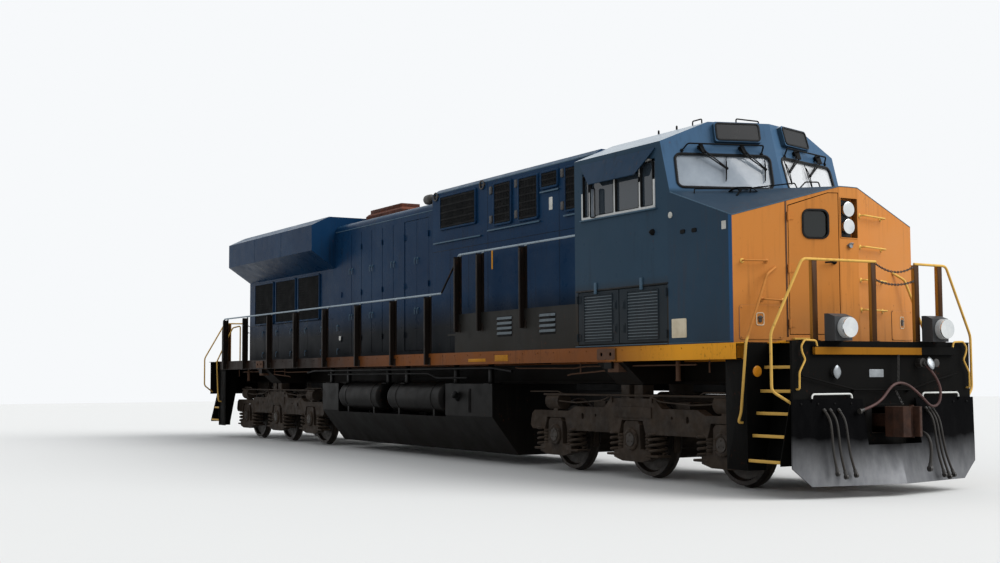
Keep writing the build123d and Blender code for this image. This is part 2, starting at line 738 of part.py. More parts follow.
# Headlights in the nose and on the rear, two lamps one above the other on a plate, and two ditch lights
lamp_radius = 88
ditch_y = 820
ditch_z = 2020
ditch_radius = 125
with BuildPart() as headlight:
    block((recess_back, recess_back + 25), (-95, 95), (lamp_recess[0] + 20, lamp_recess[1] - 20))
    for z in (3340, 3560):
        along_x(0, z, lamp_radius, (recess_back + 10, recess_back + 60))
    block((radiator_rear - 60, radiator_rear), (-110, 110), (4180, 4620))
    for z in (4290, 4510):
        along_x(0, z, lamp_radius, (radiator_rear - 90, radiator_rear - 50))
    # Ditch lights on the front platform: a sloped box and a round case with a sunk lens
    for side in (-1, 1):
        y = side * ditch_y
        back = end_plate_x
        front = end_plate_x + 175
        box_side = [(back, deck_top), (front, deck_top), (front, 2150), (back + 60, 2190), (back, 2190)]
        prism(box_side, Plane.XZ.offset(-y - 120), 280)
        along_x(y, ditch_z, ditch_radius, (back + 100, front + 75))
        along_x(y, ditch_z, ditch_radius - 14, (front + 50, front + 85), Mode.SUBTRACT)
save(headlight, "lamps")

# Seats and desk seen through the cab windows
with BuildPart() as cab_fittings:
    for side in (-1, 1):
        y = side * 950
        block((7000, 7520), (y - 250, y + 250), (3180, 3300))
        block((6960, 7080), (y - 250, y + 250), (3280, 3980))
        with Locations((7260, y, (cab_floor + 3180) / 2)):
            Cylinder(60, 3180 - cab_floor)
    desk = [(7750, cab_floor), (8250, cab_floor), (8250, 3350), (7950, 3350), (7750, 3230)]
    prism(desk, Plane.XZ.offset(-1350), 2700)
save(cab_fittings, "cab_seats_and_desk")

# Hood behind the cab: wide on the right, narrow on the left beside the walkway to the cab's rear door,
# with the upper part of its left side wide again behind that door's swing
bulge_front = 4650
bulge_bottom = 3780
with BuildPart() as blower_hood:
    section = [
        (-blower_hood_half, deck_top),
        (walkway_hood_half, deck_top),
        (walkway_hood_half, blower_hood_top),
        (walkway_hood_half - 90, blower_hood_top + 90),
        (-blower_hood_half + 130, blower_hood_top + 90),
        (-blower_hood_half, blower_hood_top),
    ]
    prism(section, Plane.YZ.offset(blower_hood_rear), cab_rear - blower_hood_rear)
    bulge = [
        (walkway_hood_half - 90, bulge_bottom),
        (walkway_hood_half, bulge_bottom),
        (blower_hood_half, bulge_bottom + 120),
        (blower_hood_half, blower_hood_top),
        (blower_hood_half - 130, blower_hood_top + 90),
        (walkway_hood_half - 90, blower_hood_top + 90),
    ]
    prism(bulge, Plane.YZ.offset(blower_hood_rear), bulge_front - blower_hood_rear)
save(blower_hood, "blower_hood")

# Grilles in that hood, on both sides, and intake screens beside the radiators
# Columns: rear x, front x, low z, high z
grille_table = (
    (1300, 2570, 4100, 4660),
    (3230, 3760, 3990, 4660),
    (4030, 4590, 3980, 4650),
    (4720, 5180, 4420, 4650),
    (5420, 5700, 3990, 4640),
)
with BuildPart() as grilles:
    for side in (-1, 1):
        for low_x, high_x, low_z, high_z in grille_table:
            wall_half = walkway_hood_half if side > 0 and high_x > bulge_front else blower_hood_half
            plate_y = sorted((side * wall_half, side * (wall_half + 20)))
            block((low_x, high_x), plate_y, (low_z, high_z))
            bars = max(3, round((high_z - low_z) / 110))
            for bar in range(bars):
                z = low_z + 30 + bar * (high_z - low_z - 60) / (bars - 1)
                front_y = sorted((side * (wall_half + 20), side * (wall_half + 32)))
                block((low_x + 15, high_x - 15), front_y, (z - 14, z + 14))
        for low_x, high_x in ((-8900, -7700), (-7500, -6300), (-6100, -4900)):
            plate_y = sorted((side * walkway_hood_half, side * (walkway_hood_half + 20)))
            block((low_x, high_x), plate_y, (2750, 3700))
save(grilles, "hood_grilles")

# Engine hood, a shell whose middle doors open
leaf_width = 490
leaf_front = 310
leaf_low = 1960
leaf_high = 4430
roof_bend = 150


def hood_section(inset):
    # Walls, rounded eaves and a flat roof
    wall_y = walkway_hood_half - inset
    roof_z = engine_hood_top - inset
    bend = roof_bend - inset
    with BuildSketch(Plane.YZ.offset(radiator_front)) as section:
        with BuildLine():
            spring_z = roof_z - bend
            Polyline((wall_y, spring_z), (wall_y, deck_top), (-wall_y, deck_top), (-wall_y, spring_z))
            CenterArc((-wall_y + bend, roof_z - bend), bend, 90, 90)
            Line((-wall_y + bend, roof_z), (wall_y - bend, roof_z))
            CenterArc((wall_y - bend, roof_z - bend), bend, 0, 90)
        make_face()
    return section.sketch


with BuildPart() as engine_hood:
    extrude(hood_section(0), amount=blower_hood_rear - radiator_front)
    extrude(hood_section(hood_wall), amount=blower_hood_rear - radiator_front, mode=Mode.SUBTRACT)
    for side in (-1, 1):
        door_y = sorted((side * (walkway_hood_half - hood_wall - 10), side * (walkway_hood_half + 10)))
        opening_x = (leaf_front - 2 * leaf_width - 2 * door_gap, leaf_front + door_gap)
        block(opening_x, door_y, (leaf_low - door_gap, leaf_high + door_gap), Mode.SUBTRACT)
        for leaf in range(2, 8):
            x = leaf_front - leaf * (leaf_width + door_gap)
            panel_y = sorted((side * (walkway_hood_half - 5), side * (walkway_hood_half + 10)))
            block((x - leaf_width, x - door_gap), panel_y, (leaf_low, leaf_high))
save(engine_hood, "engine_hood")
for side, place in ((-1, "right"), (1, "left")):
    for leaf, position in ((0, "front"), (1, "rear")):
        with BuildPart() as engine_door:
            high_x = leaf_front - leaf * (leaf_width + door_gap)
            leaf_y = sorted((side * (walkway_hood_half - hood_wall + 10), side * walkway_hood_half))
            block((high_x - leaf_width, high_x), leaf_y, (leaf_low, leaf_high))
            toward = -1 if position == "front" else 1
            hinge_x = high_x + 6 if position == "front" else high_x - leaf_width - 6
            heights = (leaf_low + 300, (leaf_low + leaf_high) / 2, leaf_high - 300)
            hinge_y = side * (walkway_hood_half + hinge_proud)
            hinge(hinge_x, hinge_y, heights, toward, side * walkway_hood_half)
        save(engine_door, f"engine_door_{place}_{position}")

# Diesel engine, a plain block in its place in the hood
with BuildPart() as engine:
    block((-3700, 700), (-620, 620), (deck_top, 3700))
    chamfer(engine.edges().filter_by(Axis.X).group_by(Axis.Z)[-1], 250)
save(engine, "engine_block")

# On the roof: the exhaust stack, and the air horn with three trumpets on one base
with BuildPart() as roof_fittings:
    block((-3900, -2300), (-260, 260), (engine_hood_top, engine_hood_top + 110))
    block((-3700, -2500), (-180, 180), (engine_hood_top + 60, engine_hood_top + 190))
    block((-3660, -2540), (-140, 140), (engine_hood_top + 120, engine_hood_top + 200), Mode.SUBTRACT)
    for y, length in ((-130, 420), (0, 500), (130, 350)):
        with BuildSketch(Plane.YZ.offset(600)) as throat:
            with Locations((y - 600, engine_hood_top + 150)):
                Circle(20)
        with BuildSketch(Plane.YZ.offset(600 - length)) as mouth:
            with Locations((y - 600, engine_hood_top + 150)):
                Circle(60)
        loft(sections=[throat.sketch, mouth.sketch], ruled=True)
    block((480, 620), (-800, -400), (engine_hood_top, engine_hood_top + 160))
save(roof_fittings, "exhaust_stack_and_horn")

# Radiator cabin with wings that overhang both walkways
core_depth = 30
core_length = 1600
with BuildPart() as radiator:
    section = [
        (-walkway_hood_half, deck_top),
        (walkway_hood_half, deck_top),
        (walkway_hood_half, 3780),
        (wing_half, 4150),
        (wing_half, 4695),
        (1100, radiator_top),
        (-1100, radiator_top),
        (-wing_half, 4695),
        (-wing_half, 4150),
        (-walkway_hood_half, 3780),
    ]
    prism(section, Plane.YZ.offset(radiator_rear), radiator_front - radiator_rear)
    # Sunk tops of the radiator cores in the roof, three along each side
    for x in (-8400, -6700, -5000):
        for y in (-540, 540):
            with Locations((x, y, radiator_top)):
                Box(core_length, 960, 2 * core_depth, mode=Mode.SUBTRACT)
    # Seams of the sloped shoulders
    for x in (-7550, -5850):
        for side in (-1, 1):
            seam_y = sorted((side * (wing_half - 8), side * (wing_half + 10)))
            block((x - 6, x + 6), seam_y, (4150, 4695), Mode.SUBTRACT)
save(radiator, "radiator_cabin")

# Walkway boxes beside the hood behind the cab, with steps up to them
walkway_box = (2470, 2510)
with BuildPart() as boxes:
    for side, hood_half in ((-1, blower_hood_half), (1, walkway_hood_half)):
        box_y = sorted((side * hood_half, side * side_y))
        block((walkway_box[0], cab_rear), box_y, (deck_top, walkway_box[1]))
        block((walkway_box[0] - 280, walkway_box[0]), box_y, (deck_top + 290, deck_top + 320))
        block((walkway_box[0] - 20, walkway_box[0]), box_y, (deck_top, deck_top + 320))
save(boxes, "walkway_boxes")


# End plates with a ledge, and steps beside the platform, the same at both ends
step_table = ((1570, 1240), (1280, 1310), (1010, 1380), (740, 1450), (440, 1520))
step_depth = 250
ledge_depth = 60
ledge_top = 1800
rod_radius = 11
rod_reach = 45
rod_route = ((-1392, 1449), (-1093, 1387), (-553, 1279), (362, 1271), (857, 1393), (1205, 1466))


with BuildPart() as platforms:
    for end in (-1, 1):
        outer = sorted((end * (end_plate_x - end_plate_thickness), end * end_plate_x))
        block(outer, (-1500, 1500), (1060, deck_top))
        block(outer, (-330, 330), (1050, 1110), Mode.SUBTRACT)
        ledge = sorted((end * end_plate_x, end * (end_plate_x + ledge_depth)))
        block(ledge, (-1190, 1190), (ledge_top - 100, ledge_top))
        for side in (-1, 1):
            for x in (step_well_rear, step_well_rear + step_well_length - 12):
                sheet_x = sorted((end * x, end * (x + 12)))
                stringer = [
                    (side * 960, deck_top - deck_thickness),
                    (side * (step_well_half + 20), deck_top - deck_thickness),
                    (side * 1535, 430),
                    (side * 1535, 380),
                    (side * 1240, 380),
                ]
                prism(stringer, Plane.YZ.offset(sheet_x[0]), 12)
            for z, outer_y in step_table:
                tread_x = sorted((end * step_well_rear, end * (step_well_rear + step_well_length)))
                tread_y = sorted((side * (outer_y - step_depth), side * outer_y))
                block(tread_x, tread_y, (z - 25, z))
        # Uncoupling rod across the end plate, in two brackets
        rod_x = end * (end_plate_x + rod_reach)
        tube([(rod_x, y, z) for y, z in rod_route], rod_radius, 60)
        for y, z in (rod_route[2], rod_route[3]):
            clip_x = sorted((end * end_plate_x, rod_x))
            block(clip_x, (y - 15, y + 15), (z - 30, z + 12))
    # Hook for the jumper hose
    block((end_plate_x, end_plate_x + 170), (100, 120), (1322, 1336))
save(platforms, "end_plates_and_steps")

coupler_shank_half = 75


def make_coupler(end, node):
    shank_x = sorted((end * coupler_pin_x, end * 10780))
    head = [
        (10760, -90),
        (10860, -190),
        (11000, -200),
        (11130, -170),
        (11150, -60),
        (11060, -20),
        (11060, 60),
        (11150, 90),
        (11120, 160),
        (10960, 200),
        (10860, 190),
        (10760, 90),
    ]
    with BuildPart() as coupler:
        half = coupler_shank_half
        block(shank_x, (-half, half), (coupler_height - half, coupler_height + half))
        shank_end = (end * coupler_pin_x, 0, coupler_height)
        with Locations(shank_end):
            Cylinder(half, 2 * half)
            Cylinder(coupler_pin_radius + bearing_clearance, 4 * half, mode=Mode.SUBTRACT)
        outline = [(end * x, end * y) for x, y in head]
        with BuildSketch(Plane.XY.offset(coupler_height - 190)) as jaw:
            with BuildLine():
                Polyline(*outline, close=True)
            make_face()
            fillet(jaw.vertices(), 12)
        extrude(jaw.sketch, amount=360)
        # Knuckle pin
        with Locations((end * 11000, end * 110, coupler_height - 10)):
            Cylinder(28, 392)
    save(coupler, node)


for end, place in ((1, "front"), (-1, "rear")):
    make_coupler(end, f"{place}_coupler")

# Snow plough: a V blade whose prow reaches further forward towards the rails
# Columns: height, half width, reach of the prow ahead of the sides
plough_sections = ((1170, 1530, 60), (590, 1540, 190), (150, 1540, 300))
plough_thickness = 20
plough_side_x = end_plate_x + plough_thickness


def blade_back(y, z):
    # The x of the blade's rear face at a place on it
    for (high_z, _, high_reach), (low_z, half, low_reach) in zip(plough_sections, plough_sections[1:]):
        if z >= low_z:
            reach = low_reach + (high_reach - low_reach) * (z - low_z) / (high_z - low_z)
            return end_plate_x + reach * (1 - abs(y) / half)


with BuildPart() as plough:
    for z, half, reach in plough_sections:
        with BuildSketch(Plane.XY.offset(z)):
            with BuildLine():
                Polyline(
                    (plough_side_x, -half),
                    (plough_side_x + reach, 0),
                    (plough_side_x, half),
                    (end_plate_x, half),
                    (end_plate_x + reach, 0),
                    (end_plate_x, -half),
                    close=True,
                )
            make_face()
    loft(ruled=True)
    block((end_plate_x - 100, coupler_face), (-450, 450), (620, 1300), Mode.SUBTRACT)
    for side in (-1, 1):
        corner = [(side * 1270, 140), (side * 1560, 380), (side * 1600, 140)]
        prism(corner, Plane.YZ.offset(end_plate_x - 100), 500, Mode.SUBTRACT)
        for y in (650, 1250):
            # Gussets from the foot of the end plate to the blade
            gusset = [
                (end_plate_x - end_plate_thickness, 1060),
                (blade_back(y, 1060) + plough_thickness / 2, 1060),
                (blade_back(y, 590) + plough_thickness / 2, 590),
                (blade_back(y, 350) + plough_thickness / 2, 350),
                (blade_back(y, 350) - 40, 350),
            ]
            prism(gusset, Plane.XZ.offset(-side * y), 16)
        # Lifting handle on the blade's top
        handle_x = plough_side_x + 20
        handle_y = (side * 600, side * 1240)
        top = plough_sections[0][0]
        handle = [
            (handle_x, handle_y[0], top - 30),
            (handle_x, handle_y[0], top + 60),
            (handle_x, handle_y[1], top + 60),
            (handle_x, handle_y[1], top - 30),
        ]
        tube(handle, rod_radius, 40)
save(plough, "snow_plough")

# Free hoses at the nose: a tube whose bends are as large as the runs on both sides allow
hose_ends = []


def hose(route, radius, node):
    points = [Vector(*point) for point in route]
    bends = []
    for before, corner, after in zip(points, points[1:], points[2:]):
        run_in = corner - before
        run_out = after - corner
        half_turn = math.radians(run_in.get_angle(run_out) / 2)
        bends.append(0.45 * min(run_in.length, run_out.length) / math.tan(half_turn))
    with BuildPart() as tubing:
        with BuildLine() as path:
            FilletPolyline(*points, radius=bends)
        with BuildSketch(Plane(path.line @ 0, z_dir=path.line % 0)) as section:
            Circle(radius)
        sweep(section.sketch, path=path.line)
    hose_ends.append((points[0], (points[0] - points[1]).normalized(), radius, "gland"))
    hose_ends.append((points[-1], (points[-1] - points[-2]).normalized(), radius, "coupling"))
    length = sum(edge.length for edge in path.edges())
    share = tubing.part.volume / (math.pi * radius**2 * length)
    print(node, "length", round(length), "volume as a share of section times length", round(share, 4))
    print("radii", [round(bend) for bend in bends])
    save(tubing, node)


# Control hoses: six drop from the blade's top in front of it
# Columns: reach ahead of the blade's face at its first point, height
control_route = ((28, 1017), (77, 968), (110, 888), (122, 775), (124, 625), (132, 480), (150, 365))
control_radius = 15
# Columns: name, y at the top, y at the bottom, how far it is stretched
control_hoses = (
    ("right_1", -1064, -1024, 1),
    ("right_2", -972, -908, 1.06),
    ("right_3", -843, -755, 1.04),
    ("left_1", 606, 704, 1.12),
    ("left_2", 664, 786, 1.16),
    ("left_3", 724, 868, 1.13),
)
first_reach, first_z = control_route[0]
last_z = control_route[-1][1]
for name, top_y, bottom_y, stretch in control_hoses:
    face_x = blade_back(top_y, first_z) + plough_thickness
    points = []
    for reach, z in control_route:
        fallen = (first_z - z) / (first_z - last_z)
        y = top_y + (bottom_y - top_y) * fallen**2
        x = face_x + first_reach + (reach - first_reach) * stretch
        points.append((x, y, first_z - (first_z - z) * stretch))
    hose(points, control_radius, f"control_hose_{name}")

# Brake hose beside the coupler
brake_hose_route = (
    (10790, 400, 760),
    (10900, 400, 760),
    (11002, 385, 708),
    (11062, 362, 612),
    (11086, 338, 496),
    (11086, 318, 386),
)
hose(brake_hose_route, 20, "brake_hose")

# Jumper hose from its socket, over its hook and down to the other side
jumper_route = (
    (10800, 600, 1570),
    (10835, 645, 1505),
    (10850, 705, 1425),
    (10852, 760, 1340),
    (10850, 788, 1262),
    (10848, 785, 1190),
    (10848, 768, 1125),
    (10848, 720, 1077),
    (10848, 655, 1060),
    (10846, 590, 1077),
    (10842, 500, 1155),
    (10836, 380, 1250),
    (10830, 250, 1330),
    (10828, 120, 1362),
    (10828, 0, 1338),
    (10830, -90, 1270),
    (10832, -170, 1188),
    (10832, -270, 1120),
    (10830, -390, 1072),
    (10828, -504, 1040),
)
hose(jumper_route, 17, "jumper_hose")

# What the hoses come out of, and the couplings at their free ends
with BuildPart() as fittings:
    for point, direction, radius, kind in hose_ends:
        sleeve = 45 if kind == "gland" else 55
        with Locations(Plane(origin=point + direction * (sleeve / 2), z_dir=direction)):
            Cylinder(radius + 6, sleeve)
        if kind == "coupling":
            with Locations(Location(tuple(point + direction * (sleeve + 10)), (90, 0, 0))):
                Cylinder(radius + 16, radius + 12)
    # Pipe and cock of the brake hose, on a bracket under the end plate
    along_x(400, 760, 27, (10560, 10790))
    along_x(400, 760, 40, (10700, 10760))
    block((10655, 10685), (385, 415), (780, 1060))
    # Socket of the jumper hose
    along_x(578, 1604, 58, (end_plate_x, end_plate_x + 85))
    add(plough.part, mode=Mode.SUBTRACT)
save(fittings, "hose_fittings")

# Handrails along both sides, with flat stanchions on the sill
rail_y = side_y - 25
rail_radius = 17
low_rail = 2900
high_rail = 3520
stanchion_table = (
    (4740, high_rail),
    (3380, high_rail),
    (2610, high_rail),
    (1500, low_rail),
    (100, low_rail),
    (-1490, low_rail),
    (-3100, low_rail),
    (-4700, low_rail),
    (-6300, low_rail),
    (-7900, low_rail),
    (-9300, low_rail),
)
with BuildPart() as side_rails:
    for side in (-1, 1):
        tube(
            [
                (cab_rear, side * rail_y, high_rail),
                (2570, side * rail_y, high_rail),
                (1910, side * rail_y, low_rail),
                (-9560, side * rail_y, low_rail),
                (-9690, side * rail_y, low_rail - 300),
                (-9690, side * rail_y, deck_top),
            ],
            rail_radius,
            80,
        )
        for x, top in stanchion_table:
            foot = walkway_box[1] if x > walkway_box[0] else deck_top
            post_y = sorted((side * (rail_y - 6), side * (rail_y + 6)))
            block((x - 35, x + 35), post_y, (foot, top))
save(side_rails, "side_handrails")

# Rails of both ends: across the platform, down beside the steps, behind the steps, and the nose's grab irons
grab_radius = 10
grab_reach = 75
# Columns: distance from the corner, height, distance of the other end, height there
right_grabs = ((127, 2880, 447, 2880), (375, 2610, 666, 2435))
left_grabs = ((800, 3500, 1340, 3500), (800, 3110, 1340, 3110), (640, 2330, 860, 2330))
with BuildPart() as rails:
    for end in (-1, 1):
        rail_x = end_plate_x + 12
        outer_y = side_y + 20
        for side in (-1, 1):
            tube(
                [
                    (end * rail_x, side * 120, 2860),
                    (end * rail_x, side * 1220, 2850),
                    (end * (rail_x - 40), side * outer_y, 1960),
                    (end * (rail_x - 40), side * outer_y, 1270),
                    (end * (rail_x - 40), side * 1480, 1180),
                ],
                rail_radius,
                60,
            )
            for y in (170, 1120):
                post_x = sorted((end * (rail_x - 6), end * (rail_x + 6)))
                block(post_x, (side * y - 35, side * y + 35), (ledge_top, 2850))
            grab_x = step_well_rear - 40
            tube(
                [
                    (end * (grab_x + 20), side * 1010, 2790),
                    (end * (grab_x + 60), side * 1180, 2700),
                    (end * grab_x, side * outer_y, 1900),
                    (end * grab_x, side * outer_y, 930),
                    (end * grab_x, side * 1400, 880),
                ],
                rail_radius,
                60,
            )
        plate_x = sorted((end * (end_plate_x - end_plate_thickness), end * end_plate_x))
        block(plate_x, (-1500, 1500), (1060, deck_top), Mode.SUBTRACT)
    for grabs, turned in ((right_grabs, 1), (left_grabs, -1)):
        for low_s, low_z, high_s, high_z in grabs:
            corners = []
            for s, z, out in ((low_s, low_z, 0), (low_s, low_z, 1), (high_s, high_z, 1), (high_s, high_z, 0)):
                place = door_face.from_local_coords(Vector(s, z, out * grab_reach))
                corners.append((place.X, turned * place.Y, place.Z))
            tube(corners, grab_radius, 25)
    add(nose_outer, mode=Mode.SUBTRACT)
save(rails, "end_handrails")
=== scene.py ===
import math

import bmesh
import bpy
import numpy as np
from mathutils import Matrix


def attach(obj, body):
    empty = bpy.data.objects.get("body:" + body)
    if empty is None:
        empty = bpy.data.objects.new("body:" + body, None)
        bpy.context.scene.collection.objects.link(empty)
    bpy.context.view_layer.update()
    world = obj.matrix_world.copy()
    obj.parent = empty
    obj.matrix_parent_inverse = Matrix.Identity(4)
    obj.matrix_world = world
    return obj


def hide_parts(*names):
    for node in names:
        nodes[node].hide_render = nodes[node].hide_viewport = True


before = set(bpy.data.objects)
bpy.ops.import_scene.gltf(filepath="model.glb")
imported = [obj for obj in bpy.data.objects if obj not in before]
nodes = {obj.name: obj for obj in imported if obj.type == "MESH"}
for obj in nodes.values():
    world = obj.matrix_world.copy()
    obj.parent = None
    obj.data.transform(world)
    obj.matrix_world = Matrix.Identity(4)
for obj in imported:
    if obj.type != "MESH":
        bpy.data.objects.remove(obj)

scene = bpy.context.scene
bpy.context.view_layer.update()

# Camera: where the photographer stood, near the track and low, looking back along the right side
cameraSettings = {
    "place": (22.77, -12.49, 1.458), "yaw": 149.80, "pitch": 4.00, "roll": -0.29, "lens": 48.93, "sensor": 36,
    "reach": 500,
}


def placeCamera(s):
    # Forward comes from yaw and pitch, right is forward crossed with up, and roll turns the pair about forward
    yaw, pitch, roll = (math.radians(s[k]) for k in ("yaw", "pitch", "roll"))
    forward = np.array([math.cos(pitch) * math.cos(yaw), math.cos(pitch) * math.sin(yaw), math.sin(pitch)])
    right = np.cross(forward, [0, 0, 1])
    right /= np.linalg.norm(right)
    up = np.cross(right, forward)
    data = bpy.data.cameras.new("camera")
    data.lens, data.sensor_width, data.clip_end = s["lens"], s["sensor"], s["reach"]
    camera = bpy.data.objects.new("camera", data)
    scene.collection.objects.link(camera)
    matrix = np.eye(4)
    matrix[:3, :3] = np.stack([right * math.cos(roll) + up * math.sin(roll),
                               -right * math.sin(roll) + up * math.cos(roll), -forward], 1)
    matrix[:3, 3] = s["place"]
    camera.matrix_world = Matrix(matrix.tolist())
    scene.camera = camera


placeCamera(cameraSettings)
scene.view_settings.view_transform = "Standard"
print("camera set")


# Materials

def linear(hexColour):
    # sRGB hex to linear: the low part is a straight line, the rest a power of 2.4
    values = np.array([int(hexColour[i:i + 2], 16) for i in (1, 3, 5)]) / 255
    values = np.where(values <= 0.04045, values / 12.92, ((values + 0.055) / 1.055) ** 2.4)
    return (*values.tolist(), 1.0)


def fill(tree, node, inputs):
    # Each socket, by number or name, gets a value or a link
    for key, value in inputs.items():
        if isinstance(value, bpy.types.NodeSocket):
            tree.links.new(value, node.inputs[key])
        else:
            node.inputs[key].default_value = value


def addNode(tree, kind, inputs=(), **settings):
    # Adds a node, sets its properties and fills its sockets, in order or by number or name
    node = tree.nodes.new("ShaderNode" + kind)
    for key, value in settings.items():
        setattr(node, key, value)
    fill(tree, node, inputs if isinstance(inputs, dict) else dict(enumerate(inputs)))
    return node.outputs


def newMaterial(name):
    # The material, its node tree, its shader and the outputs of a coordinate node
    material = bpy.data.materials.new(name)
    material.use_nodes = True
    tree = material.node_tree
    return material, tree, tree.nodes["Principled BSDF"], addNode(tree, "TexCoord")


def lumps(tree, place, size, stretch=(1, 1, 1), detail=4, rough=0.55):
    # Soft patches about size metres across, stretched by the given factors along each axis
    scaled = addNode(tree, "Mapping", {"Vector": place, "Scale": tuple(1 / (size * k) for k in stretch)})[0]
    return addNode(tree, "TexNoise", {"Vector": scaled, "Scale": 1.0, "Detail": detail, "Roughness": rough})[0]


def where(tree, *tests):
    # Each test spreads a value from low to high over 0 to 1, or over the two numbers after them; all are multiplied
    product = None
    for value, *span in tests:
        step = addNode(tree, "MapRange", [value, *span])[0]
        product = step if product is None else addNode(tree, "Math", [product, step], operation="MULTIPLY",
                                                       use_clamp=True)[0]
    return product


def layered(tree, colour, *layers):
    # Each layer is (how much, colour) and covers what is under it
    colour = linear(colour) if isinstance(colour, str) else colour
    for amount, over in layers:
        over = linear(over) if isinstance(over, str) else over
        colour = addNode(tree, "Mix", {0: amount, 6: colour, 7: over}, data_type="RGBA")[2]
    return colour


paintDefaults = {
    "fadeSize": 1.3, "fadeAmount": 0.5, "grime": "#1B1815", "streakSize": 0.06, "streakAmount": 0.35,
    "dust": "#4A4038", "dustTop": 2.6, "dustBottom": 1.5, "dustAmount": 0.6, "rust": "#5A2E18", "rustAmount": 0.12,
    "rustSize": 0.05, "roughness": (0.34, 0.6), "dustyRoughness": 0.85, "specular": 0.06, "bump": 0.0015,
    "bumpSize": 0.9, "grit": 0.012,
}


def paint(name, colour, faded, *bands, **changes):
    # Sprayed enamel on steel plate: smooth and glossy when new, here faded, streaked from the top, dusty near the
    # wheels and rusty at chips. A band is a colour, its faded colour if it has one, and tests of place or facing
    s = {**paintDefaults, **changes}
    material, tree, shader, coordinate = newMaterial(name)
    place = coordinate["Object"]
    split = addNode(tree, "SeparateXYZ", [place])
    facing = addNode(tree, "SeparateXYZ", [coordinate["Normal"]])
    sources = dict(zip(("x", "y", "z", "nx", "ny", "nz"), (*split, *facing)))
    fade = where(tree, (lumps(tree, place, s["fadeSize"]), 0.4, 0.75, 0, s["fadeAmount"]))
    layers = [(fade, faded)]
    for inner, *tests in bands:
        if isinstance(tests[0], str):
            inner = layered(tree, inner, (fade, tests.pop(0)))
        layers.append((where(tree, *[(sources[key], *span) for key, *span in tests]), inner))
    patch = lumps(tree, place, 0.7, (1, 1, 1.5), 3)
    streaks = where(tree, (lumps(tree, place, s["streakSize"], (1, 1, 18), 3), 0.52, 0.7),
                    (patch, 0.42, 0.62, 0, s["streakAmount"]))
    dusty = where(tree, (split[2], s["dustTop"], s["dustBottom"], 0, s["dustAmount"]),
                  (lumps(tree, place, 0.35, (1, 1, 2)), 0.3, 0.7, 0.45, 1))
    chips = where(tree, (lumps(tree, place, s["rustSize"], (1, 1, 1.6), 6, 0.7), 0.66 - s["rustAmount"] * 0.3, 0.72),
                  (patch, 0.45, 0.6, 0, min(1, s["rustAmount"] * 6)))
    layers += [(streaks, s["grime"]), (dusty, s["dust"]), (chips, s["rust"])]
    low, high = s["roughness"]
    dull = addNode(tree, "Math", [where(tree, (lumps(tree, place, 0.25), 0.3, 0.75, low, high)),
                                  where(tree, (dusty, 0, 0.6, low, s["dustyRoughness"]))], operation="MAXIMUM")[0]
    ripple = addNode(tree, "Bump", {"Strength": 0.35, "Distance": s["bump"],
                                    "Height": lumps(tree, place, s["bumpSize"], (1, 1, 1), 3)})[0]
    grit = addNode(tree, "Bump", {"Strength": 0.3, "Distance": 0.0006, "Height": lumps(tree, place, s["grit"]),
                                  "Normal": ripple})[0]
    fill(tree, shader, {"Base Color": layered(tree, colour, *layers), "Roughness": dull, "Normal": grit,
                        "Specular IOR Level": s["specular"]})  # weathered enamel reflects less than new
    return material


def metal(name, colour, second, roughness, size=0.2, metallic=0.0, bumpSize=0.02, bump=0.001, dirt=None):
    # Bare or dirty metal: two tones mixed by coarse patches, with fine scale or casting grain as bump, dirt on top
    material, tree, shader, coordinate = newMaterial(name)
    place = coordinate["Object"]
    mixed = layered(tree, colour, (where(tree, (lumps(tree, place, size, (1, 1, 1), 6, 0.65), 0.35, 0.65)), second))
    if dirt:
        upward = addNode(tree, "SeparateXYZ", [coordinate["Normal"]])[2]
        dirty = where(tree, (upward, 0.3, 0.9, 0, 0.75), (lumps(tree, place, 0.12), 0.35, 0.6, 0.3, 1))
        mixed = layered(tree, mixed, (dirty, dirt))
    grain = addNode(tree, "Bump", {"Strength": 0.5, "Distance": bump, "Height": lumps(tree, place, bumpSize)})[0]
    fill(tree, shader, {"Base Color": mixed, "Metallic": metallic, "Specular IOR Level": 0.2 if dirt else 0.5,
                        "Normal": grain,
                        "Roughness": where(tree, (lumps(tree, place, size * 0.4), 0.3, 0.7, *roughness))})
    return material


def plain(name, colour, second, roughness, metallic=0.0, size=0.15, **sockets):
    # A smooth finish with a slight change of tone and gloss
    material, tree, shader, coordinate = newMaterial(name)
    tone = lumps(tree, coordinate["Object"], size)
    fill(tree, shader, {"Base Color": layered(tree, colour, (where(tree, (tone, 0.35, 0.65)), second)),
                        "Roughness": where(tree, (tone, 0.3, 0.7, *roughness)), "Metallic": metallic, **sockets})
    return material


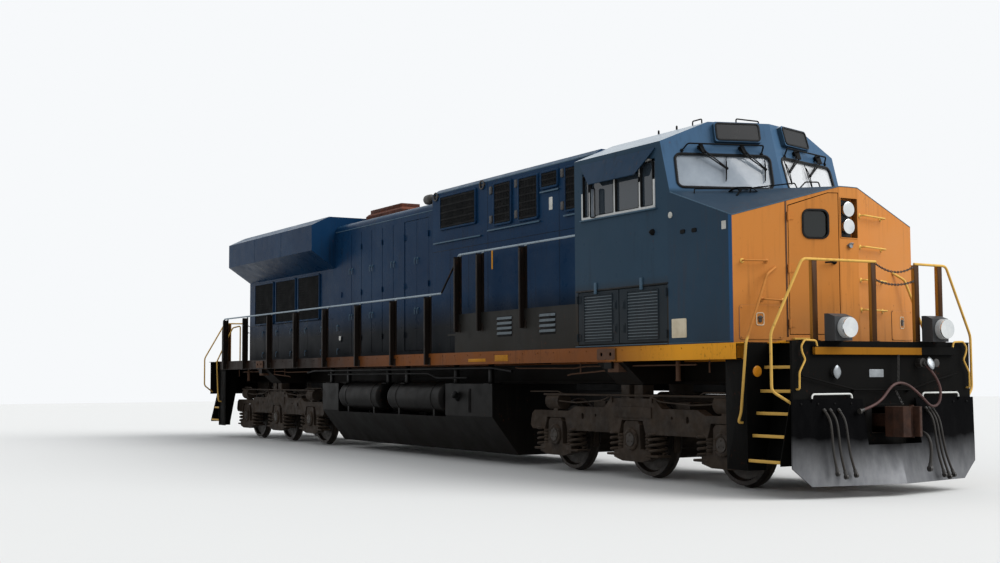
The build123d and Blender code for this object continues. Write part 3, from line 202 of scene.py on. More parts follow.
def wornBlade(name, s):
    # Black enamel above that wears away to scraped steel lower down, with white paint on the grab irons on top
    material, tree, shader, coordinate = newMaterial(name)
    place = coordinate["Object"]
    height = addNode(tree, "SeparateXYZ", [place])[2]
    wave = where(tree, (lumps(tree, place, 0.5), 0.3, 0.7, 0, s["wave"]))
    level = addNode(tree, "Math", [height, wave], operation="ADD")[0]
    scuffs = lumps(tree, place, 0.11, (1, 1, 2.5), 5, 0.6)
    wearAndHighlights = where(tree, (level, s["top"], s["bottom"]))
    enamel = layered(tree, s["enamel"], (where(tree, (scuffs, 0.45, 0.75)), s["faded"]))
    steel = layered(tree, s["steel"], (where(tree, (scuffs, 0.35, 0.7)), s["dull"]))
    rubbed = where(tree, (level, s["top"], s["bottom"]), (scuffs, 0.3, 0.7, 1, 0.7))
    ripple = addNode(tree, "Bump", {"Strength": 0.4, "Distance": 0.001, "Height": lumps(tree, place, 0.08)})[0]
    irons = where(tree, (height, s["irons"], s["irons"] + 0.003))
    fill(tree, shader, {
        "Base Color": layered(tree, enamel, (wearAndHighlights, steel), (irons, s["white"])),
        "Metallic": where(tree, (wearAndHighlights, 0, 1, 0, 0.6)), "Roughness": where(tree, (rubbed, 0, 1, 0.6, 0.34)),
        "Specular IOR Level": 0.02, "Normal": ripple})
    return material


def glassPane(name, front, left, sides, transmission, hazed="#8A95A0"):
    # Laminated glass: the raked front panes are painted paler than the upright side panes as a painted sky
    # reflection, the left one palest of all as painted glare
    material, tree, shader, coordinate = newMaterial(name)
    ahead, leftward, _ = addNode(tree, "SeparateXYZ", [coordinate["Normal"]])
    haze = lumps(tree, coordinate["Object"], 0.5)
    pale = layered(tree, front, (where(tree, (haze, 0.3, 0.7)), hazed))
    colour = layered(tree, sides, (where(tree, (ahead, 0.4, 0.6)), pale),
                     (where(tree, (ahead, 0.4, 0.6), (leftward, 0.15, 0.25)), left))
    fill(tree, shader, {"Base Color": colour, "Transmission Weight": transmission, "Roughness": 0.04, "IOR": 1.5})
    return material


# Nose: orange on the two front faces and centre, slate blue on top, dark blue sides with a brighter corner
noseEnamel = paint(
    "noseEnamel", "#283E50", "#32485A",
    ("#2A5580", ("x", 9.638, 9.642), ("y", -1.3, -1.31), ("nx", 0.42, 0.4)),
    ("#2A5580", ("x", 9.638, 9.642), ("y", 1.3, 1.31), ("nx", 0.42, 0.4)),
    ("#2B3C4C", "#3C4D5D", ("nz", 0.3, 0.35)),
    ("#C9813E", "#C38A52", ("nx", 0.6, 0.7)),
    # darker orange on the faces inside the headlight recess that look sideways or down: painted shade
    ("#8A5526", ("x", 9.8, 9.81), ("nx", 0.4, 0.38), ("nz", 0.3, 0.25), ("y", 0.5, 0.49), ("y", -0.5, -0.49)),
    dust="#33312D", dustTop=2.5, dustBottom=1.8, dustAmount=0.35, streakAmount=0.25, grime="#4A3324",
    roughness=(0.3, 0.5))
doorEnamel = paint("doorEnamel", "#C57E3C", "#BE864F", grime="#6A4526", dustTop=2.5, dustBottom=1.9, dustAmount=0.3,
                   roughness=(0.32, 0.5))
cabEnamel = paint(
    "cabEnamel", "#2B4254", "#344B5E",
    ("#332F2A", ("z", 2.80, 2.45), ("x", 8.95, 8.9)),
    # the roof's upward faces near-white: a painted sky reflection
    ("#AEB8C0", "#C3CBD1", ("nz", 0.35, 0.5), ("z", 4.42, 4.45), ("nx", 0.3, 0.2)),
    # the faces looking forward above the nose a lighter blue: painted sky sheen
    ("#3D5B78", "#4D6983", ("nx", 0.5, 0.6), ("z", 3.9, 3.95)),
    roughness=(0.25, 0.45), dust="#332F2A", dustTop=2.8, dustBottom=1.8, specular=0.05, streakAmount=0.25)
# Hood: navy, darker low down towards the walkway; its upward faces a lighter blue as painted sky sheen
hoodEnamel = paint(
    "hoodEnamel", "#0E2D4B", "#244260", ("#091017", ("z", 2.85, 2.35)), ("#213F59", "#35516A", ("nz", 0.5, 0.6)),
    roughness=(0.22, 0.42), streakAmount=0.4, dust="#151413", dustTop=2.5, dustBottom=1.7, dustAmount=0.5,
    specular=0.03)
boxEnamel = paint("boxEnamel", "#222322", "#2D2B28", rustAmount=0.2, dust="#37312A")
sillEnamel = paint(
    "sillEnamel", "#7E4A24", "#925628",
    ("#0E0F10", ("z", 1.655, 1.645)),
    ("#F2A52C", ("x", 6.9, 8.6), ("z", 1.645, 1.655)),
    ("#1B100A", ("x", 1.0, -4.0), ("z", 1.645, 1.655)),
    ("#141617", ("nz", 0.5, 0.6)),
    ("#0E0F10", ("nx", 0.5, 0.6)),
    fadeSize=0.5, rust="#2E180E", rustAmount=0.35, dust="#2E2821", dustAmount=0.4, dustTop=1.9, dustBottom=1.4,
    specular=0.05)
blackEnamel = paint("blackEnamel", "#0F1011", "#191919", roughness=(0.4, 0.7), dust="#241F1B", dustTop=2.0,
                    dustBottom=0.3,
                    dustAmount=0.3, specular=0.05)
ledgeBands = [("#9C681C", ("z", 1.685, 1.695), ("z", 1.790, 1.788), ("x", end * 10.7, end * 10.71),
               ("y", end * 0.585, end * 0.58))
              for end in (1, -1)]
pilotEnamel = paint("pilotEnamel", "#0A0B0B", "#121212", *ledgeBands, roughness=(0.45, 0.7), dust="#1C1916",
                    dustAmount=0.25,
                    specular=0.03)
railEnamel = paint(
    "railEnamel", "#E0B45C", "#D2A24E", ("#C07E3E", ("x", 10.3, 10.29), ("x", 9.76, 9.77), ("z", 1.9, 1.95),
                                         ("y", -0.93, -0.94)),
    rustAmount=0.25, rust="#6A3C1C", dustAmount=0.2, grime="#6A4A20", roughness=(0.35, 0.5))
postEnamel = paint("postEnamel", "#3E2714", "#4E3119", ("#A9722C", ("ny", -0.4, -0.6)), ("#A9722C", ("ny", 0.4, 0.6)),
                   rustAmount=0.4, rust="#5A2E16", dustAmount=0.2)
# Pale louvre paint: slats and slat strips painted light as highlights over the dark gaps
louvreHighlight = paint("louvreHighlight", "#626C72", "#747D82", rustAmount=0.2, dust="#4A453E", dustAmount=0.3)
# Pale trim paint: a lighter blue that paints the highlight along drip rails, gutters, mouldings, latches and edge
# beads
trimHighlight = paint("trimHighlight", "#4A6274", "#607483", rustAmount=0.15, dustAmount=0.3)
# Side rails: the level runs painted pale blue-grey as a painted highlight, the sloped part between them left dark as
# painted shade; the posts dark brown
sideRailShadeAndHighlight = paint(
    "sideRailShadeAndHighlight", "#1C1815", "#2A221D", ("#9AA9B4", "#B4C0C8", ("z", 3.490, 3.495)),
    ("#9AA9B4", "#B4C0C8", ("z", 2.870, 2.875), ("x", 1.93, 1.92)), rustAmount=0.25, dustAmount=0.2)
slateEnamel = paint("slateEnamel", "#242C32", "#2E363B", dust="#332F2A", dustTop=2.5, dustBottom=1.7, dustAmount=0.5,
                    rustAmount=0.15)
stripYellow = paint("stripYellow", "#D9931C", "#C47F1C", rust="#4A2A16", rustAmount=0.4, roughness=(0.3, 0.5))
platedBrown = paint("platedBrown", "#5E4232", "#6C4C38", rust="#2A1710", rustAmount=0.3)
rustIron = metal("rustIron", "#5E3020", "#3A1F16", (0.6, 0.9), 0.12, dirt="#7A4A38")
# Tank enamel: near-black, its base colour darkened as painted shade for the shadow under the frame
tankEnamel = paint("tankEnamel", "#090909", "#121110", dust="#1E1A16", dustTop=1.4, dustBottom=0.2, dustAmount=0.5,
                   streakAmount=0.7, roughness=(0.3, 0.55))
bogieCasting = metal("bogieCasting", "#261F19", "#362C23", (0.6, 0.9), 0.25, bumpSize=0.03, dirt="#54463A")
# Wheels: base colour darkened as painted shade for the shadow under the locomotive
wheelSteel = metal("wheelSteel", "#1E1814", "#30281F", (0.4, 0.7), 0.15, metallic=0.4)
couplerCasting = metal("couplerCasting", "#26160F", "#3C2418", (0.55, 0.85), 0.12, dirt="#3A2C22")
fittingIron = metal("fittingIron", "#191715", "#2B2723", (0.4, 0.65), 0.05, bumpSize=0.01)
ploughSteel = wornBlade("ploughSteel", {"top": 0.76, "bottom": 0.30, "wave": 0.10, "enamel": "#040405",
                                        "faded": "#0A0A0B",
                                        "steel": "#77787A", "dull": "#66676A", "irons": 1.176, "white": "#DCDDD9"})
alloyFrame = metal("alloyFrame", "#9A9EA1", "#7C8083", (0.3, 0.5), 0.2, metallic=0.8, bumpSize=0.05, bump=0.0003)
rubberHose = plain("rubberHose", "#15130F", "#241F1A", (0.6, 0.85))
creamPlate = plain("creamPlate", "#D6C9AE", "#C2B497", (0.4, 0.6))
reflectorAmber = plain("reflectorAmber", "#F0A030", "#DE8E22", (0.15, 0.3))
redHose = plain("redHose", "#4A2A26", "#3A2320", (0.55, 0.8))
lampSilver = plain("lampSilver", "#E6E8E6", "#D4D7D8", (0.08, 0.2), 1.0)
lampGlass = plain("lampGlass", "#E8ECEC", "#DDE3E6", (0.03, 0.08), **{"Transmission Weight": 0.92, "IOR": 1.45})
# the front and left pane colours are a painted sky reflection and painted glare; the side panes dark
tintedGlass = glassPane("tintedGlass", "#B6C0CA", "#F0F2F3", "#39434C", 0.25)
doorGlass = glassPane("doorGlass", "#0C1312", "#0C1312", "#0C1312", 0.1, "#0F1716")
blankBoard = plain("blankBoard", "#0B0C0E", "#121417", (0.25, 0.4), **{"Specular IOR Level": 0.2})
awningEnamel = paint(
    "awningEnamel", "#D4D6D4", "#B4B8B9", ("#1E3850", "#2B4560", ("z", 4.393, 4.396)),
    ("#1E3850", "#2B4056", ("y", -1.572, -1.575)), ("#1E3850", "#2B4056", ("y", 1.572, 1.575)),
    rust="#4A3A2C", rustAmount=0.25, roughness=(0.3, 0.5), dustAmount=0.1)
lampEnamel = paint("lampEnamel", "#3E4042", "#4C4E50", ("#C3C6C6", "#A9ADAE", ("x", 10.868, 10.872)), rustAmount=0.1,
                   dustAmount=0.2)
rubberSeal = plain("rubberSeal", "#0B0C0D", "#171819", (0.45, 0.65), **{"Specular IOR Level": 0.15})
screenWire = plain("screenWire", "#08090B", "#121517", (0.5, 0.75), **{"Specular IOR Level": 0.1})
cabGrey = plain("cabGrey", "#5C5E5A", "#4B4C48", (0.5, 0.7))
seatVinyl = plain("seatVinyl", "#23221F", "#2E2C28", (0.45, 0.6))
engineEnamel = paint("engineEnamel", "#5A605C", "#6A6E68", rustAmount=0.2, dustAmount=0.2)
whiteEnamel = plain("whiteEnamel", "#D8D8D2", "#B9B8B0", (0.35, 0.5))

# Each CAD node gets the finish of the first of these words that is in its name, or else black enamel
finishes = {
    "wheelset": wheelSteel, "battery": slateEnamel, "engine_block": engineEnamel, "engine": hoodEnamel,
    "blower": hoodEnamel, "radiator": hoodEnamel, "bogie": bogieCasting, "axle_boxes": bogieCasting,
    "brake": bogieCasting, "motors": bogieCasting, "draft": bogieCasting, "end_plate": pilotEnamel,
    "nose_door_glass": doorGlass, "glass": tintedGlass, "nose_door": doorEnamel, "nose": noseEnamel,
    "seats": seatVinyl, "cab": cabEnamel, "number": cabEnamel, "awnings": awningEnamel, "walkway": boxEnamel,
    "underframe": sillEnamel, "tank": tankEnamel, "reservoirs": tankEnamel, "plough": ploughSteel,
    "end_handrails": railEnamel, "side_handrails": sideRailShadeAndHighlight, "coupler": couplerCasting, "exhaust": rustIron,
    "lamps": lampEnamel, "fittings": fittingIron,
}
for name, node in nodes.items():
    node.data.materials.clear()
    node.data.materials.append(next((finish for word, finish in finishes.items() if word in name), blackEnamel))
print("materials done")


# Shapes: every shape is an array of points and an array of four-cornered faces

def gridFaces(rows, columns, closeRows=False, closeColumns=False):
    # Each point of the grid is joined to its neighbours, round the seam where a direction closes
    i, j = np.meshgrid(np.arange(rows if closeRows else rows - 1),
                       np.arange(columns if closeColumns else columns - 1), indexing="ij")
    nextI, nextJ = (i + 1) % rows, (j + 1) % columns
    return np.stack([i * columns + j, i * columns + nextJ, nextI * columns + nextJ, nextI * columns + j],
                    -1).reshape(-1, 4)


def rings(stack):
    # A closed form from rings of points, with each end drawn together at its centre
    stack = np.asarray(stack, float)
    first, last = (np.broadcast_to(stack[k].mean(0), stack[k].shape) for k in (0, -1))
    stack = np.concatenate([first[None], stack, last[None]])
    return stack.reshape(-1, 3), gridFaces(stack.shape[0], stack.shape[1], closeColumns=True)


def prism(outline, levels, axis=0):
    # A flat outline repeated at levels along an axis, with its two ends filled in
    return rings([np.insert(np.asarray(outline, float), axis, level, 1) for level in levels])


def slab(low, high, edge=0.004):
    # A plate between two corners with its edges taken off: four rings along the thinnest axis,
    # each the outline with cut corners, the first and last drawn in by the edge
    low, high = np.minimum(low, high), np.maximum(low, high)
    size = high - low
    thin = int(np.argmin(size))
    u, v = [a for a in range(3) if a != thin]
    edge = min(edge, size[thin] * 0.45)

    def outline(inset, level):
        a, b = low[u] + inset, high[u] - inset
        c, d = low[v] + inset, high[v] - inset
        flat = np.array([(a + edge, c), (b - edge, c), (b, c + edge), (b, d - edge),
                         (b - edge, d), (a + edge, d), (a, d - edge), (a, c + edge)])
        return np.insert(flat, thin, level, 1)

    a, b = low[thin], high[thin]
    return rings([outline(edge, a), outline(0, a + edge), outline(0, b - edge), outline(edge, b)])


def unit(vector):
    # The vector divided by its length
    vector = np.asarray(vector, float)
    return vector / np.linalg.norm(vector)


def basis(direction):
    # Two unit vectors square to a direction
    direction = unit(direction)
    across = unit(np.cross([0, 0, 1.0] if abs(direction[2]) < 0.9 else [1.0, 0, 0], direction))
    return across, np.cross(direction, across), direction


def circle(radius, count, start=0.0):
    # Points at even angles round a circle
    angle = start + np.linspace(0, 2 * math.pi, count, endpoint=False)
    return radius * np.stack([np.cos(angle), np.sin(angle)], 1)


def lathe(profile, origin, axis, count=24):
    # A profile of (radius, distance along the axis) turned once round the axis
    across, up, along = basis(axis)
    profile = np.asarray(profile, float)
    rim = circle(1, count) @ np.stack([across, up])
    return rings(np.asarray(origin) + profile[:, 0, None, None] * rim + profile[:, 1, None, None] * along)


def roundedPath(corners, radius, steps=5):
    # Each inner corner gives way to a short quadratic bend that starts and ends radius from it
    corners = [np.asarray(c, float) for c in corners]
    points = [corners[0]]
    t = np.linspace(0, 1, steps)[:, None]
    for before, corner, after in zip(corners, corners[1:], corners[2:]):
        reach = min(radius, 0.45 * np.linalg.norm(before - corner), 0.45 * np.linalg.norm(after - corner))
        a, b = (corner + unit(other - corner) * reach for other in (before, after))
        points.extend((1 - t) ** 2 * a + 2 * t * (1 - t) * corner + t ** 2 * b)
    return np.array([*points, corners[-1]])


def carry(path, section):
    # A flat section (across, up) is carried along a path, its frame turned from point to point with no twist
    path = np.asarray(path, float)
    tangents = np.gradient(path, axis=0)
    tangents /= np.linalg.norm(tangents, axis=1)[:, None]
    across = basis(tangents[0])[0]
    stack = []
    for point, tangent in zip(path, tangents):
        across = unit(across - tangent * across.dot(tangent))
        stack.append(point + section @ np.stack([across, np.cross(tangent, across)]))
    return rings(stack)


def tube(corners, radius, bend=0.05, sides=10):
    # A round bar along straight runs and bends
    return carry(roundedPath(corners, bend), circle(radius, sides))


def flatBar(corners, width, thickness, bend=0.03):
    # A flat bar along straight runs and bends
    a, b = width / 2, thickness / 2
    half = np.array([(a, -b * 0.6), (a, b * 0.6), (a - b * 0.4, b), (b * 0.4 - a, b)])
    return carry(roundedPath(corners, bend), np.concatenate([half, -half]))


def repeat(shape, offsets):
    # The same shape at many offsets
    points, faces = shape
    offsets = np.asarray(offsets, float)
    copies = (points[None] + offsets[:, None]).reshape(-1, 3)
    step = np.arange(len(offsets))[:, None, None] * len(points)
    return copies, (faces[None] + step).reshape(-1, 4)


def row(shape, axis, places):
    # The same shape at many places along one axis
    offsets = np.zeros((len(places), 3))
    offsets[:, axis] = places
    return repeat(shape, offsets)


def evenly(low, high, count):
    # The middles of equal parts between two ends
    return low + (np.arange(count) + 0.5) * (high - low) / count


def moved(shape, offset):
    # The shape shifted by an offset
    return shape[0] + np.asarray(offset, float), shape[1]


def placed(shape, origin, across, out):
    # Moves a shape made flat, x across, y up and z outward, on to a leaning face
    across, out = unit(across), unit(out)
    return np.asarray(origin) + shape[0] @ np.stack([across, np.cross(out, across), out]), shape[1]


def onSide(shape, x, half, z):
    # A flat shape set upright on the right side, half the width from the middle
    return placed(shape, (x, -half, z), (1, 0, 0), (0, -1, 0))


def onFront(shape, x, y, z):
    # A flat shape set upright that faces forward
    return placed(shape, (x, y, z), (0, 1, 0), (1, 0, 0))


def join(*shapes):
    # Many shapes as one, with the face numbers moved on
    starts = np.cumsum([0] + [len(points) for points, _ in shapes])
    return (np.concatenate([points for points, _ in shapes]),
            np.concatenate([faces + start for (_, faces), start in zip(shapes, starts)]))


def same(shape):
    # The shape as it is, where the other side or end has a mirror image
    return shape


def otherSide(shape):
    # The same shape on the other side of the locomotive
    return shape[0] * [1, -1, 1], shape[1][:, ::-1]


def otherEnd(shape):
    # The same shape at the other end
    return shape[0] * [-1, 1, 1], shape[1][:, ::-1]


def turnedRound(shape):
    # The same shape at the other end, turned half round about the upright axis
    return shape[0] * [-1, -1, 1], shape[1]


def bothSides(*shapes):
    # Shapes and their mirror images on the other side
    return join(*shapes, *map(otherSide, shapes))


def bothEnds(*shapes):
    # Shapes and their mirror images at the other end
    return join(*shapes, *map(otherEnd, shapes))


sides = (("right", same), ("left", otherSide))


def roundRectangle(width, height, corner, steps):
    # The points of a rectangle with round corners, and the way out at each
    angle = np.linspace(0, math.pi / 2, steps)
    path, normal = [], []
    for turn, corners in enumerate(((1, 1), (-1, 1), (-1, -1), (1, -1))):
        a = angle + turn * math.pi / 2
        normal.append(np.stack([np.cos(a), np.sin(a)], 1))
        path.append(np.array(corners) * (width / 2 - corner, height / 2 - corner) + corner * normal[-1])
    return np.concatenate(path), np.concatenate(normal)


def frameRing(width, height, corner, section, steps=6):
    # A section (outward, forward) carried round a rectangle with round corners
    path, normal = roundRectangle(width, height, corner, steps)
    section = np.asarray(section, float)
    flat = path[:, None] + normal[:, None] * section[None, :, :1]
    points = np.concatenate([flat, np.broadcast_to(section[None, :, 1:], flat.shape[:2] + (1,))], 2)
    return points.reshape(-1, 3), gridFaces(len(path), len(section), True, True)


def roundedPlate(width, height, corner, thickness, edge=0.004, steps=5):
    # A plate with round corners, its front edge taken off, set flat with its back at zero
    rim, normal = roundRectangle(width, height, corner, steps)
    levels = ((0, 0), (0, thickness - edge), (edge * 0.3, thickness - edge * 0.3), (edge, thickness),
              (min(edge * 2.5, corner * 0.9), thickness))
    return rings([np.insert(rim - normal * inset, 2, level, 1) for inset, level in levels])


def dome(radius, height, origin, axis, count=8):
    # A bolt head: a short side and a rounded top
    return lathe([(radius, 0), (radius, height * 0.5), (radius * 0.75, height * 0.85), (radius * 0.3, height)],
                 origin, axis, count)


def makePiece(name, shape, material, body="body", smoothAngle=40):
    # Puts a shape into a mesh, merges the drawn-in ends, turns the faces outward and rides on a body
    mesh = bpy.data.meshes.new(name)
    mesh.from_pydata(shape[0].tolist(), [], shape[1].tolist())
    work = bmesh.new()
    work.from_mesh(mesh)
    bmesh.ops.remove_doubles(work, verts=work.verts, dist=1e-5)
    bmesh.ops.recalc_face_normals(work, faces=work.faces)
    work.to_mesh(mesh)
    work.free()
    mesh.shade_smooth()
    mesh.set_sharp_from_angle(angle=math.radians(smoothAngle))
    mesh.materials.append(material)
    piece = bpy.data.objects.new(name, mesh)
    scene.collection.objects.link(piece)
    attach(piece, body)
    return piece


# Hoses at the nose: each is one smooth line along its route, with a round section
hoses = {
    "controlRoute": ((0.028, 1.017), (0.077, 0.968), (0.110, 0.888), (0.122, 0.775), (0.124, 0.625), (0.132, 0.480),
                     (0.150, 0.365)),
    "controlRadius": 0.015,
    "controls": (("right_1", -1.064, -1.024, 1.0, 0.681), ("right_2", -0.972, -0.908, 1.06, 0.724),
                 ("right_3", -0.843, -0.755, 1.04, 0.714), ("left_1", 0.606, 0.704, 1.12, 0.770),
                 ("left_2", 0.664, 0.786, 1.16, 0.801), ("left_3", 0.724, 0.868, 1.13, 0.786)),
    "brake": ((10.790, 0.400, 0.760), (10.900, 0.400, 0.760), (11.002, 0.385, 0.708), (11.062, 0.362, 0.612),
              (11.086, 0.338, 0.496), (11.086, 0.318, 0.386)),
    "brakeRadius": 0.020, "brakeLength": 0.568,
    "jumper": ((10.800, 0.600, 1.570), (10.835, 0.645, 1.505), (10.850, 0.705, 1.425), (10.852, 0.760, 1.340),
               (10.850, 0.788, 1.262), (10.848, 0.785, 1.190), (10.848, 0.768, 1.125), (10.848, 0.720, 1.077),
               (10.848, 0.655, 1.060), (10.846, 0.590, 1.077), (10.842, 0.500, 1.155), (10.836, 0.380, 1.250),
               (10.830, 0.250, 1.330), (10.828, 0.120, 1.362), (10.828, 0.000, 1.338), (10.830, -0.090, 1.270),
               (10.832, -0.170, 1.188), (10.832, -0.270, 1.120), (10.830, -0.390, 1.072), (10.828, -0.504, 1.040)),
    "jumperRadius": 0.017, "jumperLength": 1.978,
}


blade = {"x": 10.71, "levels": (0.15, 0.59, 1.17), "prow": (0.30, 0.19, 0.06), "halfWidths": (1.54, 1.53)}


def bladeFace(y, z):
    # The blade's prow reaches further out lower down, and falls in a straight line to both sides
    levels = blade["levels"]
    half = np.interp(z, levels[1:], blade["halfWidths"])
    return blade["x"] + np.interp(z, levels, blade["prow"]) * (1 - abs(y) / half)


def makeHose(node, points, radius, material):
    # The route's points are the control points of one smooth spline with a round section
    data = bpy.data.curves.new(node + "_line", "CURVE")
    data.dimensions = "3D"
    data.bevel_depth = radius
    data.bevel_resolution = 5
    data.resolution_u = 10
    data.use_fill_caps = True
    spline = data.splines.new("NURBS")
    spline.points.add(len(points) - 1)
    for target, point in zip(spline.points, points):
        target.co = (*point, 1)
    spline.order_u = 3
    spline.use_endpoint_u = True
    data.materials.append(material)
    piece = bpy.data.objects.new(node + "_line", data)
    scene.collection.objects.link(piece)
    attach(piece, "body")
    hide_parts(node)


for name, topY, bottomY, stretch, length in hoses["controls"]:
    reach, height = np.array(hoses["controlRoute"]).T
    fallen = (height[0] - height) / (height[0] - height[-1])
    y = topY + (bottomY - topY) * fallen ** 2
    x = bladeFace(topY, height[0]) + reach[0] + (reach - reach[0]) * stretch
    z = height[0] - (height[0] - height) * stretch
    makeHose("control_hose_" + name, np.stack([x, y, z], 1).tolist(), hoses["controlRadius"], rubberHose)
makeHose("brake_hose", hoses["brake"], hoses["brakeRadius"], rubberHose)
makeHose("jumper_hose", hoses["jumper"], hoses["jumperRadius"], redHose)
print("hoses done")


# The two leaning faces of the locomotive's front: the nose's right face and the right windscreen wall
noseFace = {
    "origin": np.array([9.71, -1.555, 0.0]), "along": np.array([0.29361, 0.95593, 0.0]),
    "out": np.array([0.95593, -0.29361, 0.0]),
}
screenFace = {
    "origin": np.array([8.945, 0.0, 3.958]), "sweep": math.tan(math.radians(18)),
    "rake": math.tan(math.radians(16)),
}
screenOut = unit([1.0, -screenFace["sweep"], screenFace["rake"]])
screenAlong = unit([screenFace["sweep"], 1.0, 0.0])
screenUp = np.cross(screenOut, screenAlong)


def nosePoint(along, height, out=0.0):
    # A point of the nose's right face, along it from the corner and at a height, moved outward
    return noseFace["origin"] + noseFace["along"] * along + noseFace["out"] * out + np.array([0, 0, height])


def onNose(shape, along, height, out=0.0):
    # A flat shape set on the nose's right face
    return placed(shape, nosePoint(along, height, out), noseFace["along"], noseFace["out"])


def screenPoint(y, z, out=0.0):
    # A point of the right windscreen wall at a width and height, moved outward
    x0, _, z0 = screenFace["origin"]
    return np.array([x0 + screenFace["sweep"] * y - screenFace["rake"] * (z - z0), y, z]) + screenOut * out


def onScreen(shape, across, up, out=0.0):
    # A flat shape set on the right windscreen wall, across and up from the middle of its foot
    middle = screenFace["origin"] + screenAlong * across + screenUp * up + screenOut * out
    return placed(shape, middle, screenAlong, screenOut)


# Windscreens: rubber gaskets, then wipers that hang from a bar over each screen
screens = {
    "size": (1.35, 0.475, 0.08), "across": -0.825, "up": 0.2425,
    "gasket": ((-0.014, -0.006), (0.022, 0.0), (0.022, 0.010), (0.006, 0.017), (-0.014, 0.008)),
}
gasket = onScreen(frameRing(*screens["size"], screens["gasket"]), screens["across"], screens["up"])
makePiece("screen_gaskets", bothSides(gasket), rubberSeal)

wipers = {
    "barHeight": 4.540, "barEnds": (-1.215, -0.185), "barOut": 0.085,
    "armFeet": ((-1.035, -0.735), (-0.475, -0.205)), "armEnd": 4.222, "blade": 0.34, "barRadius": 0.011,
    "lean": 0.035, "spread": 0.034,
}


def wiperShape(s):
    # A bar on two bent feet, and two double arms, each with a flat blade that lies against the glass
    low, high = s["barEnds"]
    z, out, end = s["barHeight"], s["barOut"], s["armEnd"]
    feet = ((low - 0.07, z - 0.07), (high - 0.02, z - 0.09))
    shapes = [tube([screenPoint(*feet[0]), screenPoint(low, z, out), screenPoint(high, z, out),
                    screenPoint(*feet[1])],
                   s["barRadius"], 0.03, 8)]
    shapes += [lathe([(0.022, 0), (0.024, 0.012), (0.010, 0.024)], screenPoint(*foot), screenOut, 10)
               for foot in feet]
    half, lean, spread = s["blade"] / 2, s["lean"], s["spread"]
    for top, foot in s["armFeet"]:
        bars = [(((top + shift, z - 0.01, 0.03), (top + shift, z - 0.09, 0.07), (foot + shift * 0.3, end, 0.035)),
                 0.020, 0.010, 0.03)
                for shift in (-spread, spread)]
        bars.append((((top, z + 0.01, 0.05), (top + 0.02, z - 0.12, 0.07)), 0.085, 0.014, 0.01))
        shapes += [flatBar([screenPoint(*spot) for spot in route], *size) for route, *size in bars]
        shapes.append(lathe([(0.034, 0), (0.036, 0.02), (0.026, 0.045), (0.010, 0.05)], screenPoint(top, z - 0.02),
                            screenOut, 12))
        shapes.append(lathe([(0.020, 0), (0.022, 0.02), (0.012, 0.03)], screenPoint(foot, end, 0.022), screenOut, 10))
        bars = [(((foot - lean * 0.8, end - half + 0.02, 0.014), (foot, end, 0.03),
                  (foot + lean * 0.7, end + half * 0.7, 0.014)),
                 0.012, 0.012, 0.05),
                (((foot - lean, end - half, 0.004), (foot + lean, end + half, 0.004)), 0.010, 0.014, 0.01)]
        shapes += [flatBar([screenPoint(*spot) for spot in route], *size) for route, *size in bars]
    return join(*shapes)


makePiece("wipers", bothSides(wiperShape(wipers)), blackEnamel)

# Number boards: a rubber ring and a blank dark face on each housing
boards = {
    "place": (-0.59, 0.80, 0.070), "size": (0.60, 0.225, 0.03),
    "ring": ((-0.006, 0.0), (0.022, 0.0), (0.020, 0.012), (0.0, 0.014)), "thickness": 0.004, "edge": 0.001,
}
makePiece("number_board_rings", bothSides(onScreen(frameRing(*boards["size"], boards["ring"]), *boards["place"])),
          rubberSeal)
face = onScreen(roundedPlate(*boards["size"], boards["thickness"], boards["edge"]), *boards["place"])
makePiece("number_board_faces", bothSides(face), blankBoard)
print("front of the cab done")

# Nose: door window gasket, door handle, a dark strip beside the door's hinge edge as its painted shadow line, access
# panels with latches, step
noseTrim = {
    "window": (1.129, 3.3595), "windowSize": (0.334, 0.345, 0.08),
    "gasket": ((-0.010, -0.004), (0.020, 0.0), (0.018, 0.012), (-0.004, 0.014)), "handle": (1.375, 2.88),
    "handleBoss": ((0.032, 0), (0.032, 0.012), (0.018, 0.018), (0.016, 0.045)),
    "lever": ((0.0, 0.0, 0.045), (-0.04, -0.004, 0.052), (-0.15, -0.012, 0.050)),
    "hinge": ((0.712, 1.935, -0.004), (0.736, 3.640, 0.003)), "panelEdge": 0.03, "panelThick": 0.008,
    "panels": ((same, 0.365, 2.115, 0.575, 0.43, -0.012), (otherSide, 0.330, 2.105, 0.56, 0.39, 0.0)),
    "latchUp": 0.04, "latchFrame": ((-0.005, 0.0), (0.006, 0.0), (0.005, 0.006), (-0.004, 0.006)),
    "bolt": (0.2575, 0.185),
    "step": (((0.78, -0.005, 0.0), (1.03, 0.02, 0.075), 0.004), ((0.78, -0.03, 0.0), (1.03, 0.0, 0.010), 0.003)),
    "stepUp": 1.90, "latch": (0.046, 0.085, 0.016, 0.010, 0.003),
    "latchBar": ((-0.034, 0.010, 0.004), (0.034, 0.026, 0.016), 0.003), "latchSize": (0.096, 0.150, 0.022),
}
doorGasket = onNose(frameRing(*noseTrim["windowSize"], noseTrim["gasket"]), *noseTrim["window"])
makePiece("nose_door_gasket", doorGasket, rubberSeal, "nose_door")
lever = join(lathe(noseTrim["handleBoss"], (0, 0, 0), (0, 0, 1), 16), flatBar(noseTrim["lever"], 0.022, 0.012, 0.02))
makePiece("nose_door_handle", onNose(lever, *noseTrim["handle"]), blackEnamel, "nose_door")
